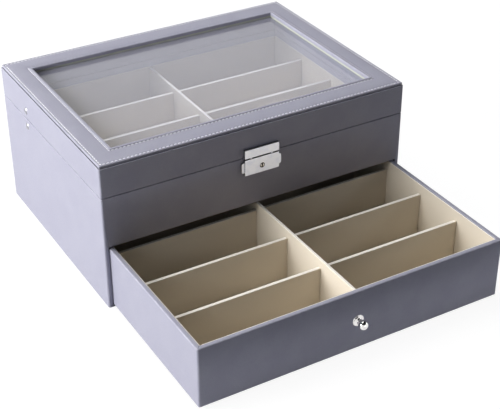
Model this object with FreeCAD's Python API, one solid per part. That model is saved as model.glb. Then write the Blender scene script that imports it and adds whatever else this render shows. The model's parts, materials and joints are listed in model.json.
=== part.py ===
import FreeCAD, Part
import math
import os

# Sunglasses organizer case, in millimetres: a lidded tray over one drawer.
# Origin at the centre of the base, X to the right, Y to the back, Z up.
# It is drawn as it stands in use: lid shut, drawer pulled part of the way out.

# Case
case_width = 335.0
case_depth = 246.0
corner_radius = 1.5
leather = 0.8
wall_board = 3.6
lining_card = 1.2
base_cloth = 0.6
floor_board = 2.2
deck_board = 3.0
tray_wall_height = 49.05  # deck to rim
rim_skirt = 7.75  # leather turned down inside the rim

# Compartments
pad_thickness = 2.0
divider_thickness = 3.4
centre_divider_thickness = 3.0
tray_divider_drop = 14.25  # tops of the dividers below the rim of the tray
tray_centre_drop = 8.25
drawer_divider_drop = 11.0  # and below the rim of the drawer
drawer_centre_drop = 2.5
lap_height = 15.0  # where crossing dividers meet, above the pad
slot_gap = 0.1
divider_end_gap = 0.2
rows = 4  # compartments from front to back, in the tray and in the drawer

# Drawer
drawer_height = 63.0
drawer_side_gap = 0.6
drawer_floor_gap = 0.4
drawer_top_gap = 2.2
drawer_back_gap = 1.6
drawer_board = 3.6
drawer_floor_board = 3.0
drawer_card_drop = 0.7  # lining card below the rim
drawer_pull = 172.0  # how far it stands open

# Knob
knob_height = 31.2  # above the drawer's underside
knob_flange_radius = 5.8
knob_flange_edge = 0.6
knob_flange_slope = 1.8
knob_neck_radius = 2.3
knob_ball_radius = 4.7
knob_ball_distance = 8.0  # centre of the ball from the drawer's face
knob_bore_depth = 7.0
knob_screw_radius = 1.7
knob_screw_head_radius = 3.4
knob_screw_head = 1.5

# Lid
seam_gap = 0.5
lid_wall_height = 30.75
frame_thickness = 3.0
frame_inset = 0.8
frame_edge_radius = 0.9
frame_corner_radius = 1.0
rail_side = 24.8
rail_front = 27.0
welt_width = 3.6  # rolled leather round the window
welt_height = 0.8
welt_radius = 0.7
seal_setback = 0.2
seal_width = 6.0
seal_thickness = 2.0
pane_thickness = 2.0
pane_gap = 0.4
bead_width = 4.0
bead_height = 3.0

# Rear hinges
hinge_offset = 95.0
hinge_length = 30.0
hinge_leaf = 1.0
hinge_leaf_height = 14.0
barrel_radius = 2.0
barrel_stand_off = 0.3  # from the back of the case
hinge_pin_radius = 0.9
hinge_pin_head = 0.7
hinge_pin_head_radius = 1.4
knuckle_gap = 0.2
barrel_clearance = 0.3
hinge_screw_spread = 18.0
hinge_screw_drop = 9.0
hinge_screw_radius = 0.9
hinge_screw_head_radius = 1.9
hinge_screw_head = 0.8
hinge_screw_length = 4.4

# Side stay
stay_from_back = 65.0
stay_lid_rise = 9.0  # rivet above the hinge axis
stay_case_drop = 8.5  # rivet below the hinge axis
link_thickness = 1.0
link_half_width = 3.0
link_eye_radius = 4.0
link_gap = 0.2
stay_gap = 0.7  # lining to the lower link
rivet_radius = 1.5
rivet_dome_radius = 4.0
rivet_dome_height = 1.3
rivet_collar_radius = 2.5
rivet_head_radius = 3.0
rivet_head = 0.8
elbow_head_radius = 2.8
elbow_head = 0.55
open_pivot_clearance = 0.2

# Lock
lock_width = 38.0
lock_height = 17.0
lock_depth = 3.5
lock_sheet = 1.0
lock_drop = 1.0  # lock case below the seam
hasp_rise = 0.5  # hasp above the seam
hasp_height = 9.0
lock_edge = 0.25
key_drop = 10.6  # plug axis below the seam
plug_radius = 2.75
plug_proud = 0.3
plug_length = 5.8
plug_tail = 1.8
plug_tail_half_length = 3.4
plug_tail_half_width = 1.4
keyhole_radius = 1.0
keyhole_rise = 1.0
keyhole_slot = 0.8
keyhole_drop = 2.1
keyhole_depth = 2.5
housing_radius = 4.5
housing_bore_radius = 3.9

# Lock slides: x is measured outwards from the lock's centre line
button_travel = 2.5
button_proud = 3.0
button_height = 11.0
button_above_lock_foot = 3.0
button_chamfer = 1.2
slide_height = 7.0
slide_inner = 8.8
slide_play = 0.15
catch_inner = 7.4
catch_width = 1.4
catch_gap = 0.2  # catch nose to hook
catch_nose_height = 1.4
catch_nose_rise = 1.4  # above the hook's lower face
lug_drop = 1.5
lug_length = 2.2
spring_radius = 0.65
spring_wire = 0.12
spring_turns = 7
spring_drop = 2.8  # below the plug axis
spring_pocket = 5.0
spring_pocket_radius = 0.9
rib_inner = 5.0
rib_width = 1.0
rib_height = 3.0

# Hasp hooks and fixings
hook_inner = 9.2
leg_inner = 10.5
leg_outer = 12.5
leg_thickness = 1.0
leg_length = 7.8
hook_height = 1.2
leg_slot_gap = 0.3
lock_pin_offset = 13.8
lock_pin_drop = 3.9  # below the seam
lock_pin_radius = 0.6
lock_pin_head_radius = 1.5
lock_pin_head = 0.8
lock_boss_radius = 1.1
hasp_screw_offset = 14.0
hasp_screw_radius = 0.8
hasp_screw_head_radius = 2.0
hasp_screw_head = 1.0
hasp_boss_radius = 1.6

fit = 0.05  # radial clearance of pins and screws
passing = 1.0  # how far a cutting tool runs past a face

# Derived planes
half_width = case_width / 2
half_depth = case_depth / 2
wall = leather + wall_board
drawer_wall = leather + drawer_board
bay_half_width = half_width - wall
bay_half_depth = half_depth - wall
floor_top = base_cloth + floor_board
drawer_bottom = floor_top + drawer_floor_gap
drawer_top = drawer_bottom + drawer_height
opening_top = drawer_top + drawer_top_gap
deck_bottom = opening_top + leather
deck_top = deck_bottom + deck_board
rim_top = deck_top + tray_wall_height
lining_top = rim_top - rim_skirt
seam = rim_top + seam_gap / 2
lid_bottom = rim_top + seam_gap
lid_wall_top = lid_bottom + lid_wall_height
case_height = lid_wall_top + frame_thickness
pane_top = lid_wall_top - seal_thickness
pane_bottom = pane_top - pane_thickness
window_half_width = half_width - rail_side
window_half_depth = half_depth - rail_front
drawer_half_width = bay_half_width - drawer_side_gap
drawer_length = case_depth - wall - drawer_back_gap
drawer_front = -half_depth - drawer_pull
drawer_back = drawer_front + drawer_length
hinge_y = half_depth + barrel_stand_off + barrel_radius
lock_front = -half_depth - lock_depth
lock_top = seam - lock_drop
lock_foot = lock_top - lock_height
key_height = seam - key_drop


def block(x, y, z):
    # Each of x, y and z is a pair, in either order
    low = [min(pair) for pair in (x, y, z)]
    high = [max(pair) for pair in (x, y, z)]
    size = [high[i] - low[i] for i in range(3)]
    return Part.makeBox(size[0], size[1], size[2], FreeCAD.Vector(*low))


def about(centre, width):
    return (centre - width / 2, centre + width / 2)


def rod(start, direction, length, radius):
    return Part.makeCylinder(radius, length, FreeCAD.Vector(*start), FreeCAD.Vector(*direction))


def fuse(shapes):
    whole = shapes[0]
    for shape in shapes[1:]:
        whole = whole.fuse(shape)
    return whole.removeSplitter()


def cut(shape, tools):
    for tool in tools:
        shape = shape.cut(tool)
    return shape


def vertical_edges(shape):
    return [edge for edge in shape.Edges if is_vertical(edge)]


def is_vertical(edge):
    ends = [vertex.Point for vertex in edge.Vertexes]
    return len(ends) == 2 and (ends[0] - ends[1]).cross(FreeCAD.Vector(0, 0, 1)).Length < 1e-6


def edges_at_height(shape, height):
    level = []
    for edge in shape.Edges:
        box = edge.BoundBox
        if abs(box.ZMin - height) < 1e-6 and abs(box.ZMax - height) < 1e-6:
            level.append(edge)
    return level


def ring(outer_x, outer_y, inner_x, inner_y, z):
    # A rectangular ring, from its outer and inner half sizes
    outside = block((-outer_x, outer_x), (-outer_y, outer_y), z)
    inside = block((-inner_x, inner_x), (-inner_y, inner_y), (z[0] - passing, z[1] + passing))
    return outside.cut(inside)


def wall_boards(prefix, half_x, y_low, y_high, thickness, z):
    # Side boards run the whole depth, front and back boards stand between them
    y = (y_low, y_high)
    between = (thickness - half_x, half_x - thickness)
    return {
        prefix + "_left_board": block((-half_x, thickness - half_x), y, z),
        prefix + "_right_board": block((half_x - thickness, half_x), y, z),
        prefix + "_front_board": block(between, (y_low, y_low + thickness), z),
        prefix + "_back_board": block(between, (y_high - thickness, y_high), z),
    }


def wall_cover(half_x, y_low, y_high, z, thickness, rim):
    # Leather on the outside of four walls and over their rim, as wide as the walls.
    # The rim is the end of z where the leather turns over, and the other end is open.
    y_middle = (y_low + y_high) / 2
    half_y = (y_high - y_low) / 2
    outside = block((-half_x, half_x), (-half_y, half_y), z)
    outside = outside.makeFillet(corner_radius, vertical_edges(outside))
    open_end = z[0] if rim == z[1] else z[1]
    turned = rim - leather if rim == z[1] else rim + leather
    past = open_end - passing if rim == z[1] else open_end + passing
    core_x = half_x - leather
    core_y = half_y - leather
    sheet = outside.cut(block((-core_x, core_x), (-core_y, core_y), (past, turned)))
    mouth_x = half_x - thickness
    mouth_y = half_y - thickness
    sheet = sheet.cut(block((-mouth_x, mouth_x), (-mouth_y, mouth_y), (z[0] - passing, z[1] + passing)))
    sheet.translate(FreeCAD.Vector(0, y_middle, 0))
    return sheet


def rim_skirt_sheet(z):
    # Leather turned in over the rim of the case or the lid and glued to its boards
    return ring(bay_half_width, bay_half_depth, bay_half_width - leather, bay_half_depth - leather, z)


def lining_strips(half_x, y_low, y_high, z):
    # Four cards against the inner faces of the walls
    y = (y_low, y_high)
    between = (lining_card - half_x, half_x - lining_card)
    return Part.makeCompound([
        block((-half_x, lining_card - half_x), y, z),
        block((half_x - lining_card, half_x), y, z),
        block(between, (y_low, y_low + lining_card), z),
        block(between, (y_high - lining_card, y_high), z),
    ])


def divider_grid(prefix, half_x, y_low, y_high, floor, cross_top, centre_top):
    # Equal rows. Cross dividers are slotted from above, the centre divider from below.
    row_pitch = (y_high - y_low + divider_thickness) / rows
    lap = floor + lap_height
    reach = half_x - divider_end_gap
    slot_x = about(0, centre_divider_thickness + 2 * slot_gap)
    centre = block(about(0, centre_divider_thickness),
                   (y_low + divider_end_gap, y_high - divider_end_gap),
                   (floor, centre_top))
    grid = {}
    for number in range(1, rows):
        row = y_low + row_pitch * number - divider_thickness / 2
        board = block((-reach, reach), about(row, divider_thickness), (floor, cross_top))
        slot = block(slot_x, about(row, divider_thickness + 2 * passing), (lap, cross_top + passing))
        grid["%s_cross_divider_%d" % (prefix, number)] = board.cut(slot)
        notch = block(about(0, centre_divider_thickness + 2 * passing),
                      about(row, divider_thickness + 2 * slot_gap), (floor - passing, lap))
        centre = centre.cut(notch)
    grid[prefix + "_centre_divider"] = centre
    return grid


# Stay geometry, seen from the side as (y, z)
def stay_points():
    lid_rivet = (half_depth - stay_from_back, seam + stay_lid_rise)
    case_rivet = (half_depth - stay_from_back, seam - stay_case_drop)
    # With the hinge axis the three pivots make a parallelogram, so each link
    # turns at the lid's own rate
    elbow = (lid_rivet[0] + case_rivet[0] - hinge_y, lid_rivet[1] + case_rivet[1] - seam)
    return lid_rivet, case_rivet, elbow


def stay_planes():
    # x of the lining's face, the lower link and the upper link
    face = -(bay_half_width - lining_card)
    lower = (face + stay_gap, face + stay_gap + link_thickness)
    upper = (lower[1] + link_gap, lower[1] + link_gap + link_thickness)
    return face, lower, upper


def through_side_wall(point):
    y, z = point
    return rod((-half_width - passing, y, z), (1, 0, 0), wall + 3 * passing, rivet_radius + fit)


def hinge_screw_places(side):
    # side is 1 for the lid's leaf, -1 for the case's
    places = []
    for centre in (-hinge_offset, hinge_offset):
        for shift in (-hinge_screw_spread / 2, hinge_screw_spread / 2):
            places.append((centre + shift, seam + side * hinge_screw_drop))
    return places


def hinge_screw_holes(side):
    start = half_depth + hinge_leaf + passing
    length = hinge_screw_length + fit + passing
    radius = hinge_screw_radius + fit
    return [rod((x, start, z), (0, -1, 0), length, radius) for x, z in hinge_screw_places(side)]


def lock_pin_places():
    return [(side * lock_pin_offset, seam - lock_pin_drop) for side in (-1, 1)]


def hasp_screw_places():
    middle = seam + hasp_rise + hasp_height / 2
    return [(side * hasp_screw_offset, middle) for side in (-1, 1)]


def front_wall_holes():
    # For the lock's round housing and its two pins. They stop at the board's
    # inner face, so the leather inside the rim hides them.
    start = -half_depth - passing
    tools = [rod((0, start, key_height), (0, 1, 0), wall + passing, housing_radius + fit)]
    for x, z in lock_pin_places():
        tools.append(rod((x, start, z), (0, 1, 0), wall + passing, lock_pin_radius + fit))
        tools.append(rod((x, -bay_half_depth, z), (0, -1, 0), lock_pin_head,
                         lock_pin_head_radius + fit))
    return tools


def case_pieces():
    case_rivet = stay_points()[1]
    board_x = half_width - leather
    board_y = half_depth - leather
    pieces = wall_boards("case", board_x, -board_y, board_y, wall_board, (base_cloth, rim_top - leather))
    bay_x = (-bay_half_width, bay_half_width)
    pieces["case_front_board"] = block(bay_x, (-board_y, -bay_half_depth),
                                       (deck_bottom, rim_top - leather))
    pieces["case_floor_board"] = block(bay_x, (-board_y, bay_half_depth), (base_cloth, floor_top))
    pieces["tray_deck_board"] = block(bay_x, (-bay_half_depth, bay_half_depth), (deck_bottom, deck_top))
    pieces["base_cloth"] = block((-board_x, board_x), (-board_y, board_y), (0, base_cloth))

    cover = wall_cover(half_width, -half_depth, half_depth, (0, rim_top), wall, rim_top)
    mouth = block(bay_x, (-half_depth - passing, -board_y), (floor_top, opening_top))
    cover = cover.cut(mouth)
    under_edge = block(bay_x, (-half_depth, -bay_half_depth), (opening_top, deck_bottom))
    pieces["case_cover"] = fuse([cover, under_edge, rim_skirt_sheet((lining_top, rim_top))])

    lining = lining_strips(bay_half_width, -bay_half_depth, bay_half_depth, (deck_top, lining_top))
    rivet_hole = through_side_wall(case_rivet)
    for name in ("case_left_board", "case_cover"):
        pieces[name] = pieces[name].cut(rivet_hole)
    pieces["tray_lining"] = lining.cut(rivet_hole)
    for name in ("case_front_board", "case_cover"):
        pieces[name] = cut(pieces[name], front_wall_holes())
    for name in ("case_back_board", "case_cover"):
        pieces[name] = cut(pieces[name], hinge_screw_holes(-1))
    return pieces


def tray_pieces():
    inner_x = bay_half_width - lining_card
    inner_y = bay_half_depth - lining_card
    pad_top = deck_top + pad_thickness
    pieces = divider_grid("tray", inner_x, -inner_y, inner_y, pad_top,
                          rim_top - tray_divider_drop, rim_top - tray_centre_drop)
    pieces["tray_floor_pad"] = block((-inner_x, inner_x), (-inner_y, inner_y), (deck_top, pad_top))
    return pieces


def lid_pieces():
    lid_rivet = stay_points()[0]
    board_x = half_width - leather
    board_y = half_depth - leather
    pieces = wall_boards("lid", board_x, -board_y, board_y, wall_board,
                         (lid_bottom + leather, lid_wall_top))
    cover = wall_cover(half_width, -half_depth, half_depth, (lid_bottom, lid_wall_top), wall, lid_bottom)
    pieces["lid_cover"] = fuse([cover, rim_skirt_sheet((lid_bottom, lid_wall_top))])
    rivet_hole = through_side_wall(lid_rivet)
    for name in ("lid_left_board", "lid_cover"):
        pieces[name] = pieces[name].cut(rivet_hole)
    for name in ("lid_back_board", "lid_cover"):
        pieces[name] = cut(pieces[name], hinge_screw_holes(1))
    for x, z in hasp_screw_places():
        hole = rod((x, -half_depth - passing, z), (0, 1, 0), wall + 3 * passing,
                   hasp_screw_radius + fit)
        for name in ("lid_front_board", "lid_cover"):
            pieces[name] = pieces[name].cut(hole)
    return pieces


def lid_frame_pieces():
    # The board of the top frame, with leather over its top and both its edges
    outer_x = half_width - frame_inset
    outer_y = half_depth - frame_inset
    core = ring(outer_x - leather, outer_y - leather,
                window_half_width + leather, window_half_depth + leather,
                (lid_wall_top, case_height - leather))
    slab = block((-outer_x, outer_x), (-outer_y, outer_y), (lid_wall_top, case_height))
    slab = slab.makeFillet(frame_corner_radius, vertical_edges(slab))
    slab = slab.makeFillet(frame_edge_radius, edges_at_height(slab, case_height))
    window = block((-window_half_width, window_half_width), (-window_half_depth, window_half_depth),
                   (lid_wall_top - passing, case_height + passing))
    welt_top = case_height + welt_height
    welt = ring(window_half_width + welt_width, window_half_depth + welt_width,
                window_half_width, window_half_depth, (lid_wall_top, welt_top))
    welt = welt.makeFillet(welt_radius, edges_at_height(welt, welt_top))
    cover = fuse([slab.cut(window), welt])
    return {"lid_frame_board": core, "lid_frame_cover": cover.cut(core)}


def glazing_pieces():
    seal_x = window_half_width + seal_setback
    seal_y = window_half_depth + seal_setback
    inner_x = bay_half_width - leather
    inner_y = bay_half_depth - leather
    pane_x = inner_x - pane_gap
    pane_y = inner_y - pane_gap
    bead_z = (pane_bottom - bead_height, pane_bottom)
    side_y = (-inner_y, inner_y)
    between = (bead_width - inner_x, inner_x - bead_width)
    beads = [
        block((-inner_x, bead_width - inner_x), side_y, bead_z),
        block((inner_x - bead_width, inner_x), side_y, bead_z),
        block(between, (-inner_y, bead_width - inner_y), bead_z),
        block(between, (inner_y - bead_width, inner_y), bead_z),
    ]
    return {
        "glass_seal": ring(seal_x + seal_width, seal_y + seal_width, seal_x, seal_y,
                           (pane_top, lid_wall_top)),
        "glass_pane": block((-pane_x, pane_x), (-pane_y, pane_y), (pane_bottom, pane_top)),
        "glass_beads": Part.makeCompound(beads),
    }


def hinge_leaf_solid(centre, side):
    # side is 1 for the lid's leaf, with one knuckle, and -1 for the case's, with two
    third = hinge_length / 3
    start = centre - hinge_length / 2
    if side > 0:
        knuckles = [(start + third + knuckle_gap, start + 2 * third - knuckle_gap)]
    else:
        knuckles = [(start, start + third), (start + 2 * third, start + hinge_length)]
    y = (half_depth, half_depth + hinge_leaf)
    leaf_edge = seam + side * (barrel_radius + barrel_clearance)
    parts = [block(about(centre, hinge_length), y, (leaf_edge, seam + side * hinge_leaf_height))]
    for low, high in knuckles:
        parts.append(block((low, high), y, (seam, leaf_edge)))
        parts.append(rod((low, hinge_y, seam), (1, 0, 0), high - low, barrel_radius))
    leaf = fuse(parts)
    bore = rod((start - passing, hinge_y, seam), (1, 0, 0), hinge_length + 2 * passing,
               hinge_pin_radius + fit)
    return leaf.cut(bore)


def hinge_pin(centre):
    start = centre - hinge_length / 2 - fit
    length = hinge_length + 2 * fit
    shaft = rod((start, hinge_y, seam), (1, 0, 0), length, hinge_pin_radius)
    left = rod((start, hinge_y, seam), (-1, 0, 0), hinge_pin_head, hinge_pin_head_radius)
    right = rod((start + length, hinge_y, seam), (1, 0, 0), hinge_pin_head, hinge_pin_head_radius)
    return fuse([shaft, left, right])


def screw(place, direction, shank_length, shank_radius, head_radius, head_height):
    # place is the seat of the head, and the shank runs from it along direction
    back = tuple(-part for part in direction)
    return fuse([
        rod(place, direction, shank_length, shank_radius),
        rod(place, back, head_height, head_radius),
    ])


def hinge_pieces():
    pieces = {"hinge_pins": Part.makeCompound([hinge_pin(x) for x in (-hinge_offset, hinge_offset)])}
    for name, side in (("case", -1), ("lid", 1)):
        leaves = [hinge_leaf_solid(x, side) for x in (-hinge_offset, hinge_offset)]
        leaves = [cut(leaf, hinge_screw_holes(side)) for leaf in leaves]
        pieces["hinge_%s_leaves" % name] = Part.makeCompound(leaves)
        seat = half_depth + hinge_leaf
        screws = [screw((x, seat, z), (0, -1, 0), hinge_screw_length, hinge_screw_radius,
                        hinge_screw_head_radius, hinge_screw_head)
                  for x, z in hinge_screw_places(side)]
        pieces["hinge_%s_screws" % name] = Part.makeCompound(screws)
    return pieces


def dome(centre, direction, radius, height):
    # A spherical cap that stands on the plane through centre
    ball_radius = (radius ** 2 + height ** 2) / (2 * height)
    axis = FreeCAD.Vector(*direction)
    middle = FreeCAD.Vector(*centre) + axis * (height - ball_radius)
    ball = Part.makeSphere(ball_radius, middle)
    keep = Part.makeCylinder(2 * radius, 2 * height, FreeCAD.Vector(*centre), axis)
    return ball.common(keep)


def wall_rivet(point, collar_start, link_x):
    # Dome outside the wall, collar against the inner face, flat head over the link
    y, z = point
    head_seat = link_x[1] + fit
    shank = rod((-half_width, y, z), (1, 0, 0), head_seat + half_width, rivet_radius)
    collar = rod((collar_start, y, z), (1, 0, 0), link_x[0] - fit - collar_start, rivet_collar_radius)
    head = rod((head_seat, y, z), (1, 0, 0), rivet_head, rivet_head_radius)
    cap = dome((-half_width, y, z), (-1, 0, 0), rivet_dome_radius, rivet_dome_height)
    return fuse([shank, collar, head, cap])


def link(start, end, x, end_bore_radius):
    # A flat strip with an eye at each end, in a plane across X
    length = math.hypot(end[0] - start[0], end[1] - start[1])
    angle = math.degrees(math.atan2(end[1] - start[1], end[0] - start[0]))
    thickness = x[1] - x[0]
    strip = Part.makeBox(thickness, length, 2 * link_half_width,
                         FreeCAD.Vector(x[0], 0, -link_half_width))
    strip.rotate(FreeCAD.Vector(0, 0, 0), FreeCAD.Vector(1, 0, 0), angle)
    strip.translate(FreeCAD.Vector(0, start[0], start[1]))
    eyes = [rod((x[0], point[0], point[1]), (1, 0, 0), thickness, link_eye_radius)
            for point in (start, end)]
    bores = []
    for point, radius in ((start, rivet_radius + fit), (end, end_bore_radius)):
        bores.append(rod((x[0] - passing, point[0], point[1]), (1, 0, 0),
                         thickness + 2 * passing, radius))
    return cut(fuse([strip] + eyes), bores)


def stay_pieces():
    lid_rivet, case_rivet, elbow = stay_points()
    face, lower, upper = stay_planes()
    skirt_face = -(bay_half_width - leather)
    y, z = elbow
    pin = rod((lower[0] - fit, y, z), (1, 0, 0), upper[1] - lower[0] + 2 * fit, rivet_radius)
    outer_head = rod((lower[0] - fit, y, z), (-1, 0, 0), elbow_head, elbow_head_radius)
    inner_head = rod((upper[1] + fit, y, z), (1, 0, 0), elbow_head, elbow_head_radius)
    return {
        "stay_case_rivet": wall_rivet(case_rivet, face, lower),
        "stay_lid_rivet": wall_rivet(lid_rivet, skirt_face, upper),
        "stay_lower_link": link(case_rivet, elbow, lower, rivet_radius + fit),
        "stay_upper_link": link(lid_rivet, elbow, upper, rivet_radius + open_pivot_clearance),
        "stay_elbow_rivet": fuse([pin, outer_head, inner_head]),
    }


def mirrored_pair(solid):
    # The solid and its mirror image across the lock's centre line
    twin = solid.mirror(FreeCAD.Vector(0, 0, 0), FreeCAD.Vector(1, 0, 0))
    return [twin, solid]


def lock_shell(z_low, z_high):
    # A pressed metal cover: a front plate with a rim that stands on the leather
    x = about(0, lock_width)
    shell = block(x, (lock_front, -half_depth), (z_low, z_high))
    front_edges = [edge for edge in shell.Edges
                   if abs(edge.BoundBox.YMax - lock_front) < 1e-6]
    shell = shell.makeFillet(lock_edge, front_edges)
    hollow = block((x[0] + lock_sheet, x[1] - lock_sheet),
                   (lock_front + lock_sheet, -half_depth + passing),
                   (z_low + lock_sheet, z_high - lock_sheet))
    return shell.cut(hollow)


def lock_case():
    inner_front = lock_front + lock_sheet
    half = lock_width / 2
    housing = rod((0, inner_front, key_height), (0, 1, 0), -bay_half_depth - inner_front,
                  housing_radius)
    parts = [lock_shell(lock_foot, lock_top), housing]
    rib_middle = key_height - spring_drop
    rib = block((rib_inner, rib_inner + rib_width), (inner_front, -half_depth - slide_play),
                about(rib_middle, rib_height))
    # Each rib is tied to the housing at its foot
    tie = block((0, rib_inner + rib_width), (inner_front, inner_front + lock_sheet / 2),
                about(rib_middle, rib_height))
    parts += mirrored_pair(rib) + mirrored_pair(tie)
    for x, z in lock_pin_places():
        parts.append(rod((x, inner_front, z), (0, 1, 0), lock_depth - lock_sheet, lock_boss_radius))
    case = fuse(parts)

    plug_bore = rod((0, lock_front - passing, key_height), (0, 1, 0),
                    lock_depth + wall + 2 * passing, plug_radius + fit)
    tail_bore = rod((0, lock_front - plug_proud + plug_length - fit, key_height), (0, 1, 0),
                    lock_depth + wall, housing_bore_radius)
    tools = [plug_bore, tail_bore]
    foot = lock_foot + button_above_lock_foot
    window = block((half - lock_sheet - passing, half + passing), (inner_front, -half_depth + passing),
                   (foot - slide_play, foot + button_height + slide_play))
    slot = block((leg_inner - leg_slot_gap, leg_outer + leg_slot_gap),
                 (leg_y()[0] - leg_slot_gap, leg_y()[1] + leg_slot_gap),
                 (lock_top - lock_sheet - passing, lock_top + passing))
    tools += mirrored_pair(window) + mirrored_pair(slot)
    for x, z in lock_pin_places():
        tools.append(rod((x, -half_depth + passing, z), (0, -1, 0),
                         lock_depth - lock_sheet / 2 + passing, lock_pin_radius + fit))
    return cut(case, tools)


def slide_y():
    # The slides fill the lock's hollow from front to back, less their play
    return (lock_front + lock_sheet + slide_play, -half_depth - slide_play)


def leg_y():
    front = lock_front + lock_sheet + leg_slot_gap
    return (front, front + leg_thickness)


def hook_foot():
    return seam + hasp_rise - leg_length


def lock_button():
    # Tab outside the lock, slide inside it, catch post and stop lug: the right-hand one
    y = slide_y()
    half = lock_width / 2
    foot = lock_foot + button_above_lock_foot
    tab = block((half - lock_sheet - slide_play, half + button_proud), y, (foot, foot + button_height))
    outer = [edge for edge in tab.Edges
             if abs(edge.BoundBox.XMin - half - button_proud) < 1e-6
             and edge.BoundBox.YLength > passing]
    tab = tab.makeChamfer(button_chamfer, outer)
    body = block((slide_inner, half - lock_sheet), y, (foot, foot + slide_height))
    lug = block((half - lock_sheet - slide_play - lug_length, half - lock_sheet - slide_play), y,
                (foot - lug_drop, foot))
    nose_foot = hook_foot() + catch_nose_rise
    post = block((catch_inner, catch_inner + catch_width), y,
                 (foot + slide_height / 2, nose_foot + catch_nose_height))
    nose = block((catch_inner, hook_inner - catch_gap), y, (nose_foot, nose_foot + catch_nose_height))
    pocket = rod((slide_inner - passing, (y[0] + y[1]) / 2, key_height - spring_drop), (1, 0, 0),
                 spring_pocket + passing, spring_pocket_radius)
    return fuse([tab, body, lug, post, nose]).cut(pocket)


def lock_spring():
    # A coil from the rib to the end of the slide's pocket: the right-hand one
    start = rib_inner + rib_width + spring_wire
    length = slide_inner + spring_pocket - spring_wire - start
    y = slide_y()
    path = Part.makeHelix(length / spring_turns, length, spring_radius)
    profile = Part.Wire([Part.makeCircle(spring_wire, FreeCAD.Vector(spring_radius, 0, 0),
                                         FreeCAD.Vector(0, 1, 0))])
    coil = Part.Wire(path.Edges).makePipeShell([profile], True, True)
    coil.rotate(FreeCAD.Vector(0, 0, 0), FreeCAD.Vector(0, 1, 0), 90)
    coil.translate(FreeCAD.Vector(start, (y[0] + y[1]) / 2, key_height - spring_drop))
    return coil


def key_plug():
    # Round plug with a keyhole in front and an oblong tail in the housing
    front = lock_front - plug_proud
    plug = rod((0, front, key_height), (0, 1, 0), plug_length, plug_radius)
    back = front + plug_length
    tail = block(about(0, 2 * plug_tail_half_width), (back, back + plug_tail),
                 about(key_height, 2 * plug_tail_half_length))
    hole = rod((0, front - passing, key_height + keyhole_rise), (0, 1, 0),
               keyhole_depth + passing, keyhole_radius)
    slot = block(about(0, keyhole_slot), (front - passing, front + keyhole_depth),
                 (key_height - keyhole_drop, key_height + keyhole_rise))
    return cut(fuse([plug, tail]), [hole, slot])


def hasp():
    foot = seam + hasp_rise
    inner_front = lock_front + lock_sheet
    parts = [lock_shell(foot, foot + hasp_height)]
    leg = block((leg_inner, leg_outer), leg_y(), (hook_foot(), foot + lock_sheet))
    hook = block((hook_inner, leg_inner), leg_y(), (hook_foot(), hook_foot() + hook_height))
    parts += mirrored_pair(leg) + mirrored_pair(hook)
    bores = []
    for x, z in hasp_screw_places():
        parts.append(rod((x, inner_front, z), (0, 1, 0), lock_depth - lock_sheet, hasp_boss_radius))
        bores.append(rod((x, -half_depth + passing, z), (0, -1, 0),
                         lock_depth - lock_sheet / 2 + passing, hasp_screw_radius + fit))
    return cut(fuse(parts), bores)


def lock_pieces():
    pin_seat = -bay_half_depth - lock_pin_head
    pin_length = lock_depth - lock_sheet + wall - lock_pin_head
    pins = [screw((x, pin_seat, z), (0, -1, 0), pin_length, lock_pin_radius,
                  lock_pin_head_radius, lock_pin_head) for x, z in lock_pin_places()]
    screw_seat = -bay_half_depth + leather
    screw_length = lock_depth - lock_sheet + wall + leather
    hasp_screws = [screw((x, screw_seat, z), (0, -1, 0), screw_length, hasp_screw_radius,
                         hasp_screw_head_radius, hasp_screw_head) for x, z in hasp_screw_places()]
    left_button, right_button = mirrored_pair(lock_button())
    left_spring, right_spring = mirrored_pair(lock_spring())
    return {
        "lock_case": lock_case(),
        "lock_pins": Part.makeCompound(pins),
        "lock_button_left": left_button,
        "lock_button_right": right_button,
        "lock_spring_left": left_spring,
        "lock_spring_right": right_spring,
        "key_plug": key_plug(),
        "hasp": hasp(),
        "hasp_screws": Part.makeCompound(hasp_screws),
    }


def knob():
    # Low round flange, neck and ball, bored from behind for its screw
    height = drawer_bottom + knob_height
    base = (0, drawer_front, height)
    forward = (0, -1, 0)
    flange = rod(base, forward, knob_flange_edge, knob_flange_radius)
    slope = Part.makeCone(knob_flange_radius, knob_neck_radius, knob_flange_slope,
                          FreeCAD.Vector(0, drawer_front - knob_flange_edge, height),
                          FreeCAD.Vector(*forward))
    neck = rod(base, forward, knob_ball_distance, knob_neck_radius)
    ball = Part.makeSphere(knob_ball_radius, FreeCAD.Vector(0, drawer_front - knob_ball_distance, height))
    bore = rod((0, drawer_front + passing, height), forward, knob_bore_depth + passing,
               knob_screw_radius + fit)
    return fuse([flange, slope, neck, ball]).cut(bore)


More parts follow.
